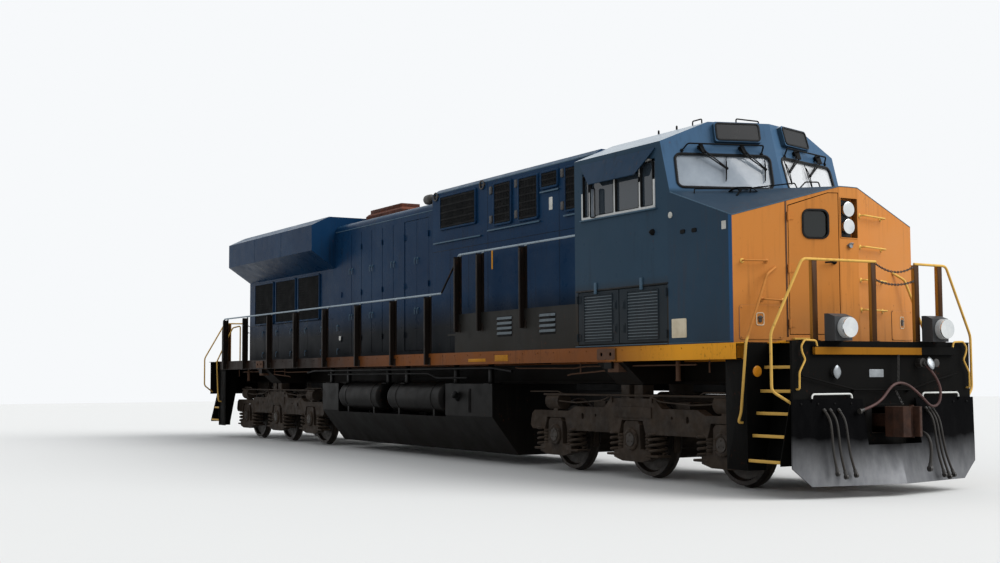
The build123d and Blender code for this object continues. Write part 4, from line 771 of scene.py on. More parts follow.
# A thin brown strip on the body beside the door's hinge edge: the door's shadow line, painted
makePiece("nose_door_shadow_line", onNose(slab(*noseTrim["hinge"], 0.001), 0, 0), platedBrown)
latch = join(roundedPlate(*noseTrim["latch"]), slab(*noseTrim["latchBar"]))
latchFrame = frameRing(*noseTrim["latchSize"], noseTrim["latchFrame"])
panels, latches, latchFrames, bolts = [], [], [], []
for turn, along, height, wide, tall, shift in noseTrim["panels"]:
    thick = noseTrim["panelThick"]
    panels.append(turn(onNose(roundedPlate(wide, tall, noseTrim["panelEdge"], thick), along, height)))
    for shape, made in ((latch, latches), (latchFrame, latchFrames)):
        made.append(turn(onNose(shape, along + shift, height + noseTrim["latchUp"], thick)))
    for a in (-1, 1):
        for b in (-1, 1):
            spot = (a * noseTrim["bolt"][0], b * noseTrim["bolt"][1], thick)
            bolts.append(turn(onNose(dome(0.010, 0.007, spot, (0, 0, 1)), along, height)))
makePiece("nose_access_panels", join(*panels), noseEnamel)
makePiece("nose_panel_latches", join(*latches), fittingIron)
makePiece("nose_panel_latch_frames", join(*latchFrames), creamPlate)
makePiece("nose_panel_bolts", join(*bolts), noseEnamel)
makePiece("nose_door_step", onNose(join(*[slab(*plate) for plate in noseTrim["step"]]), 0, noseTrim["stepUp"]),
          railEnamel)
print("nose door and panels done")

# Lamps: silver dishes with a bulb, domed glass and bright rims, in the nose, at the rear and on the platform
lamps = {
    "groups": ((((10.105, 0.0, 3.340), (10.105, 0.0, 3.560)), 0.086, 1),
               (((-9.440, 0.0, 4.290), (-9.440, 0.0, 4.510)), 0.086, -1),
               (((10.918, -0.820, 2.020), (10.918, 0.820, 2.020)), 0.108, 1)),
    "small": (10.140, 0.0, 3.093),
    "hood": ((0, -0.036, 0.004), (0.05, -0.030, 0.030), (0.052, 0.030, 0.030), (0, 0.036, 0.004)),
    "recess": (0.286, 0.505, 0.012), "recessPlace": (10.14, 0, 3.4475),
    "marker": ((0.030, -0.002), (0.034, 0.030), (0.030, 0.036), (0.024, 0.030)),
    "recessSection": ((-0.002, -0.002), (0.012, 0.0), (0.011, 0.006), (0.0, 0.006)),
}


def lampShapes(centre, radius, facing):
    # Dish: a bowl sunk behind the rim. Glass: a shallow dome. Rim: a rounded ring. All are in parts of the radius
    t = np.linspace(0, 1, 7) * math.pi / 2
    bowl = radius * np.stack([0.93 * np.sin(t), -0.02 - 0.16 * np.cos(t)], 1)
    outer = [(radius * 0.96, 0.002), (radius * 0.9, -radius * 0.22), (0.001, -radius * 0.24)]
    origin = np.asarray(centre) + np.array([facing * (radius * 0.24 + 0.001), 0, 0])
    profiles = (
        ([*bowl, *outer], 32),
        ([(0.002, 0.001), (radius * 0.92, 0.001), (radius * 0.92, 0.005), (radius * 0.6, 0.010), (0.002, 0.012)], 32),
        ([(radius * 0.92, -radius * 0.24), (radius * 1.05, -radius * 0.24), (radius * 1.06, 0.004), (radius, 0.014),
          (radius * 0.92, 0.008)], 32),
        ([(radius * 0.97, 0.006), (radius * 1.10, 0.006), (radius * 1.10, 0.018), (radius * 0.97, 0.020)], 32),
        ([(radius * 0.16, -radius * 0.17), (radius * 0.16, -radius * 0.08), (radius * 0.08, -radius * 0.03)], 16))
    dish, glass, rim, clamp, bulb = (lathe(profile, origin, (facing, 0, 0), count) for profile, count in profiles)
    return dish, glass, join(rim, clamp), bulb


made = zip(*[lampShapes(centre, radius, facing) for centres, radius, facing in lamps["groups"] for centre in centres])
for part, shapes, finish in zip(("dishes", "glasses", "rims", "bulbs"), made,
                                (lampSilver, lampGlass, lampSilver, fittingIron)):
    makePiece("lamp_" + part, join(*shapes), finish)
place = np.array(lamps["small"])
hood = tube(place + np.array(lamps["hood"]), 0.006, 0.02, 8)
makePiece("nose_marker_lamp", join(lathe(lamps["marker"], place, (1, 0, 0), 16), hood), alloyFrame)
recess = frameRing(*lamps["recess"], lamps["recessSection"])
makePiece("lamp_recess_edge", onFront(recess, *lamps["recessPlace"]), noseEnamel)
print("lamps done")

# Cab sides: window gaskets, wind deflectors, mouldings and gutters, blank plates, plates round the lifting holes
cabSide = {
    "lights": ((6.41, 6.56), (6.60, 7.18), (7.22, 7.78), (7.82, 8.10)), "low": 3.749, "high": 4.353, "half": 1.567,
    "gap": 0.004, "seal": ((-0.010, -0.030), (0.004, -0.030), (0.004, 0.003), (-0.004, 0.005)),
    "deflector": (6.73, 3.93, 0.088, 0.42),
    "deflectorFrame": ((-0.008, -0.007), (0.006, -0.007), (0.006, 0.007), (-0.008, 0.007)),
    "mouldings": (((6.34, -1.590, 3.690), (8.17, -1.552, 3.712), 0.004),
                  ((6.19, -1.575, 1.876), (8.38, -1.553, 1.888), 0.003),
                  ((8.40, -1.566, 1.876), (9.70, -1.553, 1.886), 0.003),
                  ((6.682, -1.578, 2.625), (6.737, -1.554, 2.790), 0.004),
                  ((7.784, -1.578, 2.625), (7.839, -1.554, 2.790), 0.004)),
    "gutter": ((6.19, -1.562, 2.668), (8.40, -1.554, 2.692), 0.003), "plate": (0.31, 0.25, 0.015, 0.006, 0.002),
    "platePlace": (8.625, 1.555, 2.075), "sillPlates": (6.854, 7.074), "sillPlate": (0.220, 0.156, 0.030, 0.012),
    "sillPlatePlace": (1.565, 1.762),
}
middle = (cabSide["low"] + cabSide["high"]) / 2
seals = [onSide(frameRing(x1 - x0 - cabSide["gap"], cabSide["high"] - cabSide["low"] - cabSide["gap"], 0.02,
                          cabSide["seal"]),
                (x0 + x1) / 2, cabSide["half"], middle) for x0, x1 in cabSide["lights"]]
makePiece("side_window_seals", bothSides(*seals), rubberSeal)
x, z, wide, tall = cabSide["deflector"]
y = -(cabSide["half"] + wide / 2 + 0.006)
deflectorFrame = onFront(frameRing(wide - 0.01, tall, 0.02, cabSide["deflectorFrame"]), x, y, z)
deflectorPane = slab((x - 0.002, y - wide / 2 + 0.012, z - tall / 2 + 0.008),
                     (x + 0.002, y + wide / 2 - 0.012, z + tall / 2 - 0.008), 0.001)
makePiece("wind_deflector_frames", bothSides(deflectorFrame), blackEnamel)
makePiece("wind_deflector_panes", bothSides(deflectorPane), tintedGlass)
# Mouldings in the pale trim paint: a painted highlight along them
makePiece("cab_mouldings", bothSides(*[slab(*bar) for bar in cabSide["mouldings"]]), trimHighlight)
makePiece("cab_gutters", bothSides(slab(*cabSide["gutter"])), rubberSeal)


def holedPlate(width, height, radius, thickness, count=32):
    # A plate round a hole: a circle and the rectangle's outline at the same angles, joined at the back and the front
    direction = circle(1, count, math.pi / count)
    reach = (np.array([width, height]) / 2 / np.maximum(abs(direction), 1e-6)).min(1)
    outer, inner = direction * reach[:, None], direction * radius
    levels = ((outer, -0.004), (outer, thickness), (inner, thickness), (inner, -0.004))
    return np.concatenate([np.insert(ring, 2, level, 1) for ring, level in levels]), gridFaces(4, count, True, True)


makePiece("blank_side_plates", bothSides(onSide(roundedPlate(*cabSide["plate"]), *cabSide["platePlace"])), creamPlate)
sillPlates = [onSide(holedPlate(*cabSide["sillPlate"]), x, *cabSide["sillPlatePlace"]) for x in cabSide["sillPlates"]]
makePiece("sill_plates", bothEnds(bothSides(*sillPlates)), platedBrown)

# Battery doors: a raised frame and two paddle latches in shallow cups; the slats' pale strips, painted highlights,
# come further down
batteryDoors = {
    "doors": (("rear", 6.25, 7.255, 7.165), ("front", 7.275, 8.365, 7.365)), "frame": (0.70, 0.66, 0.012),
    "section": ((-0.004, 0.0), (0.014, 0.0), (0.012, 0.010), (0.0, 0.012)), "half": 1.551, "middle": 2.285,
    "latches": (2.12, 2.45), "cup": (0.09, 0.13, 0.015, 0.006, 0.002), "paddle": (0.055, 0.085, 0.01, 0.010, 0.004),
    "paddleShift": (0, -0.008, 0.004), "slatHalf": 0.34, "slatDepth": (-1.5575, -1.5540), "slatThick": 0.011,
    "slatLow": 1.95, "slatPitch": 0.041875, "slats": 16,
}
d = batteryDoors
paddleLatch = join(roundedPlate(*d["cup"]), moved(roundedPlate(*d["paddle"]), d["paddleShift"]))
for side, turn in sides:
    for position, x0, x1, latchX in d["doors"]:
        door, middle = f"battery_door_{side}_{position}", (x0 + x1) / 2
        trim = [onSide(frameRing(*d["frame"], d["section"]), middle, d["half"], d["middle"])]
        trim += [onSide(paddleLatch, latchX, d["half"], z) for z in d["latches"]]
        makePiece(door + "_trim", turn(join(*trim)), slateEnamel, door)

# Nose top: a bead along its edges, painted pale as a highlight, low rods and a bracket in front of the screen; small
# trim on the cab's side
noseTop = {
    "edges": ((8.462, -1.553, 3.882), (9.708, -1.553, 3.450), (10.138, -0.155, 3.844), (10.138, 0.0, 3.846)),
    "bead": 0.007,
    "rods": (((8.77, -1.39), (8.75, -1.37, 0.05), (9.22, -1.03, 0.045), (9.24, -1.01)),
             ((9.36, -0.95), (9.35, -0.93, 0.05), (9.66, -0.46, 0.065), (9.68, -0.44)),
             ((9.69, -0.40), (9.71, -0.32, 0.08), (9.85, -0.23, 0.07), (9.90, -0.25))),
    "rod": 0.009,
    "brackets": ((((9.12, -1.10, 0.005), (9.20, -1.04, 0.06), (9.36, -0.92, 0.06), (9.42, -0.88, 0.005)), 0.07),
                 (((9.30, -1.12, 0.005), (9.28, -1.02, 0.05), (9.26, -0.90, 0.005)), 0.03)),
    "half": 1.555, "cap": (8.471, 3.576, 0.042), "knob": (8.077, 3.385), "vents": ((8.725, 3.332), (8.965, 3.328)),
    "label": (9.557, 3.339, 0.085, 0.105), "corner": (8.46, 1.555, 3.883),
    "slopes": ((0.3893, 0.3464), (0.0364, 0.0524)),
    "capProfile": ((1, 0.0), (1, 0.010), (0.7, 0.016), (0.3, 0.018)),
    "knobProfile": ((0.045, 0.0), (0.042, 0.02), (0.020, 0.05), (0.012, 0.06)),
    "vent": (0.10, 0.055, 0.02, 0.010, 0.004),
}


def onTop(x, y, lift=0.0):
    # The nose's top is the lower of two planes: each height falls evenly with x and with the distance from the side
    cornerX, cornerY, height = noseTop["corner"]
    ahead, inward = x - cornerX, cornerY - abs(y)
    return np.array([x, y, height + min(a * inward - b * ahead for a, b in noseTop["slopes"]) + lift])


rods = [tube([onTop(*spot) for spot in rod], noseTop["rod"], 0.02, 8) for rod in noseTop["rods"]]
rods += [flatBar([onTop(*spot) for spot in route], width, 0.01, 0.02) for route, width in noseTop["brackets"]]
makePiece("nose_top_rods", join(*rods), blackEnamel)
makePiece("nose_top_edges", bothSides(tube(noseTop["edges"], noseTop["bead"], 0.01, 8)), trimHighlight)
x, z, radius = noseTop["cap"]
half = noseTop["half"]
cap = lathe([(radius * k, out) for k, out in noseTop["capProfile"]], (x, -half, z), (0, -1, 0), 24)
x, z, wide, tall = noseTop["label"]
makePiece("cab_side_caps", join(cap, onSide(roundedPlate(wide, tall, 0.008, 0.004, 0.001), x, half, z)), whiteEnamel)
x, z = noseTop["knob"]
knob = lathe(noseTop["knobProfile"], (x, -half, z), (0, -1, 0), 12)
vents = [onSide(roundedPlate(*noseTop["vent"]), x, half, z) for x, z in noseTop["vents"]]
makePiece("cab_side_fittings", bothSides(knob, *vents), blackEnamel)

# Pale strips on the battery doors' slats: painted highlights along their edges
back, face = d["slatDepth"]
for side, turn in sides:
    for position, x0, x1, _ in d["doors"]:
        middle = (x0 + x1) / 2
        edge = slab((middle - d["slatHalf"], back, 0), (middle + d["slatHalf"], face, d["slatThick"]), 0.001)
        wearAndHighlights = row(edge, 2, d["slatLow"] + np.arange(d["slats"]) * d["slatPitch"])
        makePiece(f"battery_door_{side}_{position}_slat_edges", turn(wearAndHighlights), louvreHighlight,
                  f"battery_door_{side}_{position}")
print("cab sides done")

# Walkway boxes: two small sets of louvres, each a black back, painted shade seen between the slats, and slats that
# lean out at the foot, painted pale as highlights
louvres = {
    "sets": ((3.893, 4.350), (5.180, 5.625)), "low": 2.122, "high": 2.440, "slats": 4, "back": (-1.5575, -1.5535),
    "slat": ((-1.5570, 0.046), (-1.5660, 0.026), (-1.5700, 0.010), (-1.5700, 0.004), (-1.5570, 0.004)),
}
back, face = louvres["back"]
backs = [slab((x0, back, louvres["low"] - 0.03), (x1, face, louvres["high"] - 0.02), 0.001)
         for x0, x1 in louvres["sets"]]
levels = np.linspace(louvres["low"], louvres["high"], louvres["slats"], endpoint=False)
slats = [row(prism(louvres["slat"], (x0, x0, x1, x1)), 2, levels) for x0, x1 in louvres["sets"]]
makePiece("walkway_louvre_shade_backs", bothSides(*backs), blackEnamel)
makePiece("walkway_louvre_slats", bothSides(*slats), louvreHighlight)

# Grilles of the hood behind the cab and intake screens beside the radiators: frames, fine bars both ways
grille = {
    "table": ((1.30, 2.57, 4.10, 4.66), (3.23, 3.76, 3.99, 4.66), (4.03, 4.59, 3.98, 4.65), (4.72, 5.18, 4.42, 4.65),
              (5.42, 5.70, 3.99, 4.64)),
    "rightWalls": (1.2,) * 5, "leftWalls": (1.2, 1.2, 1.2, 0.95, 0.95),
    "intakes": ((-8.90, -7.70, 2.75, 3.70), (-7.50, -6.30, 2.75, 3.70), (-6.10, -4.90, 2.75, 3.70)),
    "intakeWalls": (0.95,) * 3, "frame": 0.035, "bar": 0.006, "pitch": 0.045, "rowPitch": 0.055, "proud": 0.020,
}


def grilleShape(openings, walls, s):
    # Bars at an even pitch along and up each opening, inside a raised frame
    frames, bars = [], []
    for (x0, x1, z0, z1), half in zip(openings, walls):
        y, w = -(half + s["proud"]), s["frame"]
        section = ((-0.006, -0.018), (w, -0.018), (w, -0.004), (w - 0.008, 0.014), (0.004, 0.016), (-0.006, 0.008))
        frames.append(onSide(frameRing(x1 - x0, z1 - z0, 0.02, section), (x0 + x1) / 2, -y, (z0 + z1) / 2))
        upright = slab((-s["bar"] / 2, y - 0.014, z0), (s["bar"] / 2, y - 0.008, z1), 0.001)
        bars.append(row(upright, 0, evenly(x0, x1, int((x1 - x0) / s["pitch"]))))
        level = slab((x0, y - 0.009, -0.003), (x1, y - 0.004, 0.003), 0.001)
        bars.append(row(level, 2, evenly(z0, z1, max(3, round((z1 - z0) / s["rowPitch"])))))
    return join(*frames), join(*bars)


right, left, intakes = (grilleShape(grille[openings], grille[walls], grille) for openings, walls in
                        (("table", "rightWalls"), ("table", "leftWalls"), ("intakes", "intakeWalls")))
for k, (part, finish) in enumerate((("frames", hoodEnamel), ("bars", screenWire))):
    makePiece("grille_" + part, join(right[k], otherSide(left[k]), bothSides(intakes[k])), finish)
print("grilles done")

# Hoods: hinges and latches of the doors, seams, drip rails and gutters
hood = {
    "leaf": 0.49, "pitch": 0.50, "first": 0.31, "half": 0.95, "hingeLevels": (2.26, 3.195, 4.13),
    "latchLevels": (2.75, 3.70), "hingeHalf": 0.958, "latchHalf": 0.960, "radiatorLatchHalf": 0.952,
    "doorSeam": (1.88, 2.70), "longSeam": (-9.30, 2.705, -4.10, 2.705),
    "radiatorDoors": (-9.20, -8.30, -7.40, -6.50, -5.60, -4.70), "radiatorLatches": (0.80, (2.05, 2.55)),
    "rightSeams": ((2.97, 2.52, 2.97, 4.74), (5.20, 2.52, 5.20, 4.74), (0.96, 3.70, 6.16, 3.70),
                   (1.62, 1.88, 1.62, 3.70), (2.30, 1.88, 2.30, 3.70)),
    "leftSeams": [(x, 2.52, x, 3.77) for x in (2.97, 4.10, 5.20)], "seam": 0.0035,
    "drips": ((1.03, 2.76, 3.862, 0), (3.00, 4.66, 3.915, 0), (4.68, 5.22, 4.36, -0.25), (5.36, 5.78, 3.92, -0.25)),
    "dripHalf": 1.2, "rightGutter": ((0.97, -1.205, 4.742), (6.16, -1.190, 4.760), 0.003),
    "gutters": ((-4.03, -0.957, 4.535), (0.94, -0.945, 4.552), 0.003), "knuckle": ((0.011, 0), (0.011, 0.036)),
    "knuckles": (-0.057, -0.018, 0.021), "hingeLeaf": ((-0.045, -0.05, 0.0), (0.045, 0.05, 0.006), 0.002),
    "barSize": (0.020, 0.009, 0.02), "boss": ((0.022, 0), (0.022, 0.012), (0.014, 0.020)),
    "bar": ((0, 0.01, 0.022), (0, -0.05, 0.026), (0.0, -0.11, 0.022)),
}


def hingeShape():
    # A barrel in three knuckles with a leaf on each side, upright, its back at zero
    knuckles = [lathe(hood["knuckle"], (0, z, 0.012), (0, 1, 0), 10) for z in hood["knuckles"]]
    return join(*knuckles, slab(*hood["hingeLeaf"]))


def barLatch():
    # A round boss with a short bar that drops to one side
    return join(lathe(hood["boss"], (0, 0, 0), (0, 0, 1), 14), flatBar(hood["bar"], *hood["barSize"]))


def seamLine(x0, z0, x1, z1, half):
    # A narrow dark joint between two sheets, 1.5 mm proud of the wall
    wide = hood["seam"]
    return slab((x0 - wide, -half - 0.0015, z0 - wide), (x1 + wide, -half + 0.003, z1 + wide), 0.0005)


hinges, latches = [], []
for leaf in range(2, 8):  # leaves in pairs, hinged at their outer edges; the first two are doors of their own
    high = hood["first"] - leaf * hood["pitch"]
    low = high - hood["leaf"]
    hingeX, latchX = (low - 0.005, high - 0.06) if leaf % 2 else (high - 0.005, low + 0.05)
    hinges += [onSide(hingeShape(), hingeX, hood["hingeHalf"], z) for z in hood["hingeLevels"]]
    latches += [onSide(barLatch(), latchX, hood["latchHalf"], z) for z in hood["latchLevels"]]
shift, levels = hood["radiatorLatches"]
latches += [onSide(barLatch(), x + shift, hood["radiatorLatchHalf"], z)
            for x in hood["radiatorDoors"] for z in levels]
makePiece("hood_hinges", bothSides(*hinges), hoodEnamel)
# These latches and the engine doors' latches take the pale trim paint, a painted highlight
makePiece("hood_latches", bothSides(*latches), trimHighlight)
for side, turn in sides:
    for position, x in (("front", hood["first"] - hood["leaf"] + 0.05),
                        ("rear", hood["first"] - hood["pitch"] - 0.05)):
        pair = [onSide(barLatch(), x, hood["half"], z) for z in hood["latchLevels"]]
        makePiece(f"engine_door_{side}_{position}_latches", turn(join(*pair)), trimHighlight,
                  f"engine_door_{side}_{position}")
half, wide = hood["half"], hood["dripHalf"]
low, high = hood["doorSeam"]
lines = [seamLine(x, low, x, high, half) for x in hood["radiatorDoors"]] + [seamLine(*hood["longSeam"], half)]
makePiece("hood_seams", join(*[seamLine(*line, wide) for line in hood["rightSeams"]], bothSides(*lines),
                             *[otherSide(seamLine(*line, half)) for line in hood["leftSeams"]]), blackEnamel)
# Drip rails and gutters take the pale trim paint, a painted highlight along them
drips = [join(slab((x0, -wide - 0.032, z - 0.006), (x1, -wide + 0.004, z), 0.002),
              slab((x0, -wide - 0.034, z - 0.024), (x1, -wide - 0.028, z), 0.002)) for x0, x1, z, _ in hood["drips"]]
left = [moved(otherSide(drip), (0, inward, 0)) for drip, (_, _, _, inward) in zip(drips, hood["drips"])]
makePiece("drip_rails", join(*drips, *left, bothSides(slab(*hood["gutters"])), slab(*hood["rightGutter"])),
          trimHighlight)

# Trim of the hood behind the cab: hinge blocks, a short drum at its rear corner, ringed lugs, blank labels
hoodTrim = {
    "hinges": ((3.093, 4.578), (3.093, 4.085), (3.919, 4.592), (3.919, 4.090), (5.307, 4.580), (5.307, 4.074)),
    "drum": (0.950, -1.150, 4.700, 0.088), "lugs": ((1.10, 4.70), (2.80, 4.71)),
    "drumProfile": ((0.45, 0.0), (0.45, 0.10), (1, 0.13), (1.06, 0.24), (1, 0.30), (0.8, 0.32)),
    "labels": ((0.09, 0.12, 0.715, 0.95, 3.605), (0.08, 0.13, -2.827, 0.95, 4.232), (0.09, 0.09, -2.338, 0.95, 4.236),
               (0.11, 0.09, -3.796, 0.95, 2.284), (0.10, 0.20, 4.960, 1.2, 4.150)),
    "yellow": (0.045, 0.34, 3.115, 1.2, 3.42),
}


def hoodTrimShapes(s):
    # Hinge: a block with a barrel beside it. Drum: a stepped profile turned about the length. Lug: a ring on a bar
    hinge = join(slab((-0.040, -1.222, -0.065), (0.040, -1.198, 0.065), 0.005),
                 lathe([(0.018, -0.05), (0.018, 0.05)], (0.045, -1.216, 0.0), (0, 0, 1), 12))
    dark = [moved(hinge, (x, 0, z)) for x, z in s["hinges"]]
    x, y, z, radius = s["drum"]
    profile = [(radius * k, along) for k, along in s["drumProfile"]]
    dark.append(lathe(profile, (x, y, z), (-1, 0, 0), 28))
    dark.append(slab((x - 0.06, y - 0.03, z - 0.16), (x + 0.004, y + 0.03, z - 0.02), 0.004))
    for x, z in s["lugs"]:
        dark.append(onSide(frameRing(0.14, 0.14, 0.068, circle(0.014, 6), 5), x, 1.216, z))
        dark.append(slab((x - 0.10, -1.206, z - 0.02), (x + 0.10, -1.198, z + 0.02), 0.003))
    pale = [onSide(roundedPlate(wide, tall, 0.01, 0.003, 0.001), *place) for wide, tall, *place in s["labels"]]
    wide, tall, *place = s["yellow"]
    return join(*dark), join(*pale), onSide(roundedPlate(wide, tall, 0.008, 0.003, 0.001), *place)


names = ("hood_hinges_and_lugs", "hood_labels", "hood_yellow_label")
for name, shape, finish in zip(names, hoodTrimShapes(hoodTrim), (fittingIron, whiteEnamel, stripYellow)):
    makePiece(name, shape, finish)
print("hood sides done")

# Exhaust: a low box with sloped shoulders, and an open rim on it
stack = {
    "base": (-3.98, -2.24, 0.27), "levels": ((0, 4.800), (0, 4.915), (0.05, 4.965)),
    "rim": (-3.86, -2.36, 0.205, 4.955, 5.045), "wall": 0.022,
}


def stackShape(s):
    # Rings of the box drawn in towards its top, and four upright walls
    x0, x1, half = s["base"]
    box = [[(x0 + inset, inset - half, level), (x1 - inset, inset - half, level), (x1 - inset, half - inset, level),
            (x0 + inset, half - inset, level)] for inset, level in s["levels"]]
    x0, x1, half, low, high = s["rim"]
    wall = s["wall"] / 2
    walls = [slab((x0, side * half - wall, low), (x1, side * half + wall, high), 0.003) for side in (-1, 1)]
    walls += [slab((x - wall, -half, low), (x + wall, half, high), 0.003) for x in (x0, x1)]
    return join(rings(box), *walls)


makePiece("exhaust_stack_rim", stackShape(stack), rustIron)

# Roof: cooler fins and their frames, hatches, lifting eyes
roof = {
    "cores": ((-8.40, -6.70, -5.00), (-0.54, 0.54)), "length": 1.56, "width": 0.92, "level": 4.862, "pitch": 0.06,
    "fin": 0.020, "frame": (1.60, 0.96, 0.02, ((-0.02, -0.01), (0.03, -0.01), (0.03, 0.006), (-0.02, 0.008))),
    "frameLevel": 4.890,
    "hatches": ((-1.90, 0.70, 0.62, 4.700), (1.35, 2.95, 0.78, 4.840), (3.05, 4.45, 0.78, 4.840),
                (4.80, 6.00, 0.70, 4.840)),
    "eyes": ((-4.5, 4.89), (-0.9, 4.705), (0.85, 4.705)), "eyeHalf": 0.70,
    "eye": ((-0.05, -0.02), (-0.035, 0.018), (0.035, 0.018), (0.05, -0.02)),
}


def roofShapes(s):
    # Thin fins at an even pitch across each sunk cooler top in a frame, raised hatches with a lip, bent bars as eyes
    fins, frames = [], []
    for x in s["cores"][0]:
        for y in s["cores"][1]:
            fin = slab((-0.003, y - s["width"] / 2, s["level"]), (0.003, y + s["width"] / 2, s["level"] + s["fin"]),
                       0.001)
            fins.append(row(fin, 0, evenly(x - s["length"] / 2, x + s["length"] / 2, int(s["length"] / s["pitch"]))))
            frames.append(moved(frameRing(*s["frame"]), (x, y, s["frameLevel"])))
    for x0, x1, half, level in s["hatches"]:
        frames.append(moved(roundedPlate(x1 - x0, 2 * half, 0.04, 0.030, 0.008), ((x0 + x1) / 2, 0, level - 0.001)))
    for x, level in s["eyes"]:
        for y in (-s["eyeHalf"], s["eyeHalf"]):
            frames.append(tube([(x + along, y, level + up) for along, up in s["eye"]], 0.008, 0.02, 8))
    return join(*fins), join(*frames)


finShape, hatchShape = roofShapes(roof)
makePiece("cooler_fins", finShape, screenWire)
makePiece("roof_hatches", hatchShape, hoodEnamel)
print("roof done")

# Sill: bolt heads along both sides, channel posts of the side rails, yellow strips
sill = {
    "bolts": (-9.55, 9.55, 44), "boltZ": 1.812, "bare": (6.964, 0.26),
    "posts": ((4.74, 3.480, 2.205), (3.38, 3.480, 2.205), (2.61, 3.480, 2.205)), "lowPost": (2.862, 1.668),
    "lowPosts": (1.50, 0.10, -1.49, -3.10, -4.70, -6.30, -7.90, -9.30), "postDepth": (1.556, 1.644),
    "strips": ((2.92, 3.50, 1.700, 1.752), (3.80, 4.22, 1.700, 1.800)),
}


def railPostShapes(s):
    # Channel posts outside the sill: a web across the walkway, a narrow flange at its outer edge, a shoe at the foot
    near, far = s["postDepth"]
    posts = []
    for x, top, foot in (*s["posts"], *[(x, *s["lowPost"]) for x in s["lowPosts"]]):
        posts.append(slab((x - 0.036, -far, foot), (x - 0.026, -near + 0.022, top), 0.002))
        posts.append(slab((x - 0.036, -far - 0.004, foot), (x + 0.018, -far + 0.004, top - 0.03), 0.002))
        posts.append(slab((x - 0.045, -near - 0.010, foot - 0.004), (x + 0.050, -near + 0.004, foot + 0.130), 0.003))
    return posts


xs = np.linspace(*sill["bolts"])
xs = xs[abs(abs(xs) - sill["bare"][0]) > sill["bare"][1]]  # none on the plates round the lifting holes
bolt = dome(0.011, 0.008, (0, -1.5545, sill["boltZ"]), (0, -1, 0))
makePiece("sill_bolts", bothSides(row(bolt, 0, xs)), sillEnamel)
makePiece("side_rail_channels", bothSides(*railPostShapes(sill)), sideRailShadeAndHighlight)
strips = [slab((x0, -1.5575, z0), (x1, -1.5545, z1), 0.001) for x0, x1, z0, z1 in sill["strips"]]
makePiece("sill_strips", bothSides(*strips), stripYellow)

# Steps: a yellow edge and rows of studs on each tread
steps = {
    "table": ((1.570, 1.240), (1.280, 1.310), (1.010, 1.380), (0.740, 1.450), (0.440, 1.520)), "x": (9.905, 10.495),
    "stud": ((-0.013, -0.004, 0), (0.013, 0.004, 0.003), 0.001), "along": (14, 0.041), "across": (5, 0.045),
    "inset": 0.03,
}
x0, x1 = steps["x"]
edges, treads = [], []
for z, outer in steps["table"]:
    edges.append(slab((x0, -outer - 0.006, z - 0.034), (x1, -outer + 0.012, z + 0.004), 0.003))
    (columns, along), (rows, across) = steps["along"], steps["across"]
    spots = np.meshgrid(x0 + steps["inset"] + np.arange(columns) * along,
                        -outer + steps["inset"] + np.arange(rows) * across, z - 0.0005,
                        indexing="ij")
    treads.append(repeat(slab(*steps["stud"]), np.stack(spots, -1).reshape(-1, 3)))
makePiece("step_edges", bothEnds(bothSides(*edges)), railEnamel)
makePiece("step_studs", bothEnds(bothSides(*treads)), blackEnamel)

# Under the sill: tank hangers with pads, long pipes; beside the bogies thin pipes, drop pipes, a block and air ducts
under = {
    "tankHangers": (-3.30, -2.45, -0.60, 0.20, 2.10, 3.30),
    "hanger": (((-0.05, -1.36, 1.335), (0.05, -1.30, 1.665), 0.004),
               ((-0.09, -1.44, 1.338), (0.09, -1.20, 1.352), 0.003)),
    "pipes": ((((-4.3, -1.47, 1.56), (-3.9, -1.47, 1.60), (3.6, -1.47, 1.60), (4.2, -1.47, 1.54)), 0.022, 0.1),
              (((-3.3, -1.42, 1.52), (1.2, -1.42, 1.52), (1.5, -1.40, 1.44), (2.6, -1.40, 1.44)), 0.016, 0.06)),
    "thin": (((4.10, 1.600), (4.20, 1.587), (5.80, 1.575), (6.10, 1.600), (8.70, 1.600)),
             ((5.62, 1.470), (5.72, 1.489), (6.36, 1.520), (6.74, 1.545))),
    "thinRadius": 0.011, "y": -1.34, "top": 1.650,
    "drops": ((5.97, 1.500, 0.012), (6.60, 1.520, 0.010), (8.31, 1.385, 0.032), (8.97, 1.495, 0.012)),
    "block": ((6.90, -1.50, 1.510), (7.16, -1.36, 1.650), 0.004),
    "ducts": (((4.72, -0.60, 1.222), (6.24, -0.42, 1.345), 0.012),
              ((7.68, -0.60, 1.222), (8.72, -0.42, 1.345), 0.012)),
}
hangers = [moved(slab(*plate), (x, 0, 0)) for x in under["tankHangers"] for plate in under["hanger"]]
pipes = [tube(route, radius, bend) for route, radius, bend in under["pipes"]]
makePiece("tank_hangers_and_pipes", bothSides(*hangers, *pipes), tankEnamel)
pipes = [tube([(x, under["y"], z) for x, z in route], under["thinRadius"], 0.05, 8) for route in under["thin"]]
pipes += [lathe([(radius, 0.0), (radius * 1.3, 0.01), (radius, 0.02), (radius, under["top"] - low)],
                (x, under["y"], low), (0, 0, 1), 12)
          for x, low, radius in under["drops"]]
makePiece("under_sill_pipes", bothEnds(bothSides(*pipes, slab(*under["block"]))), platedBrown)
makePiece("under_sill_ducts", bothEnds(bothSides(*[slab(*duct) for duct in under["ducts"]])), blackEnamel)
print("sill and steps done")

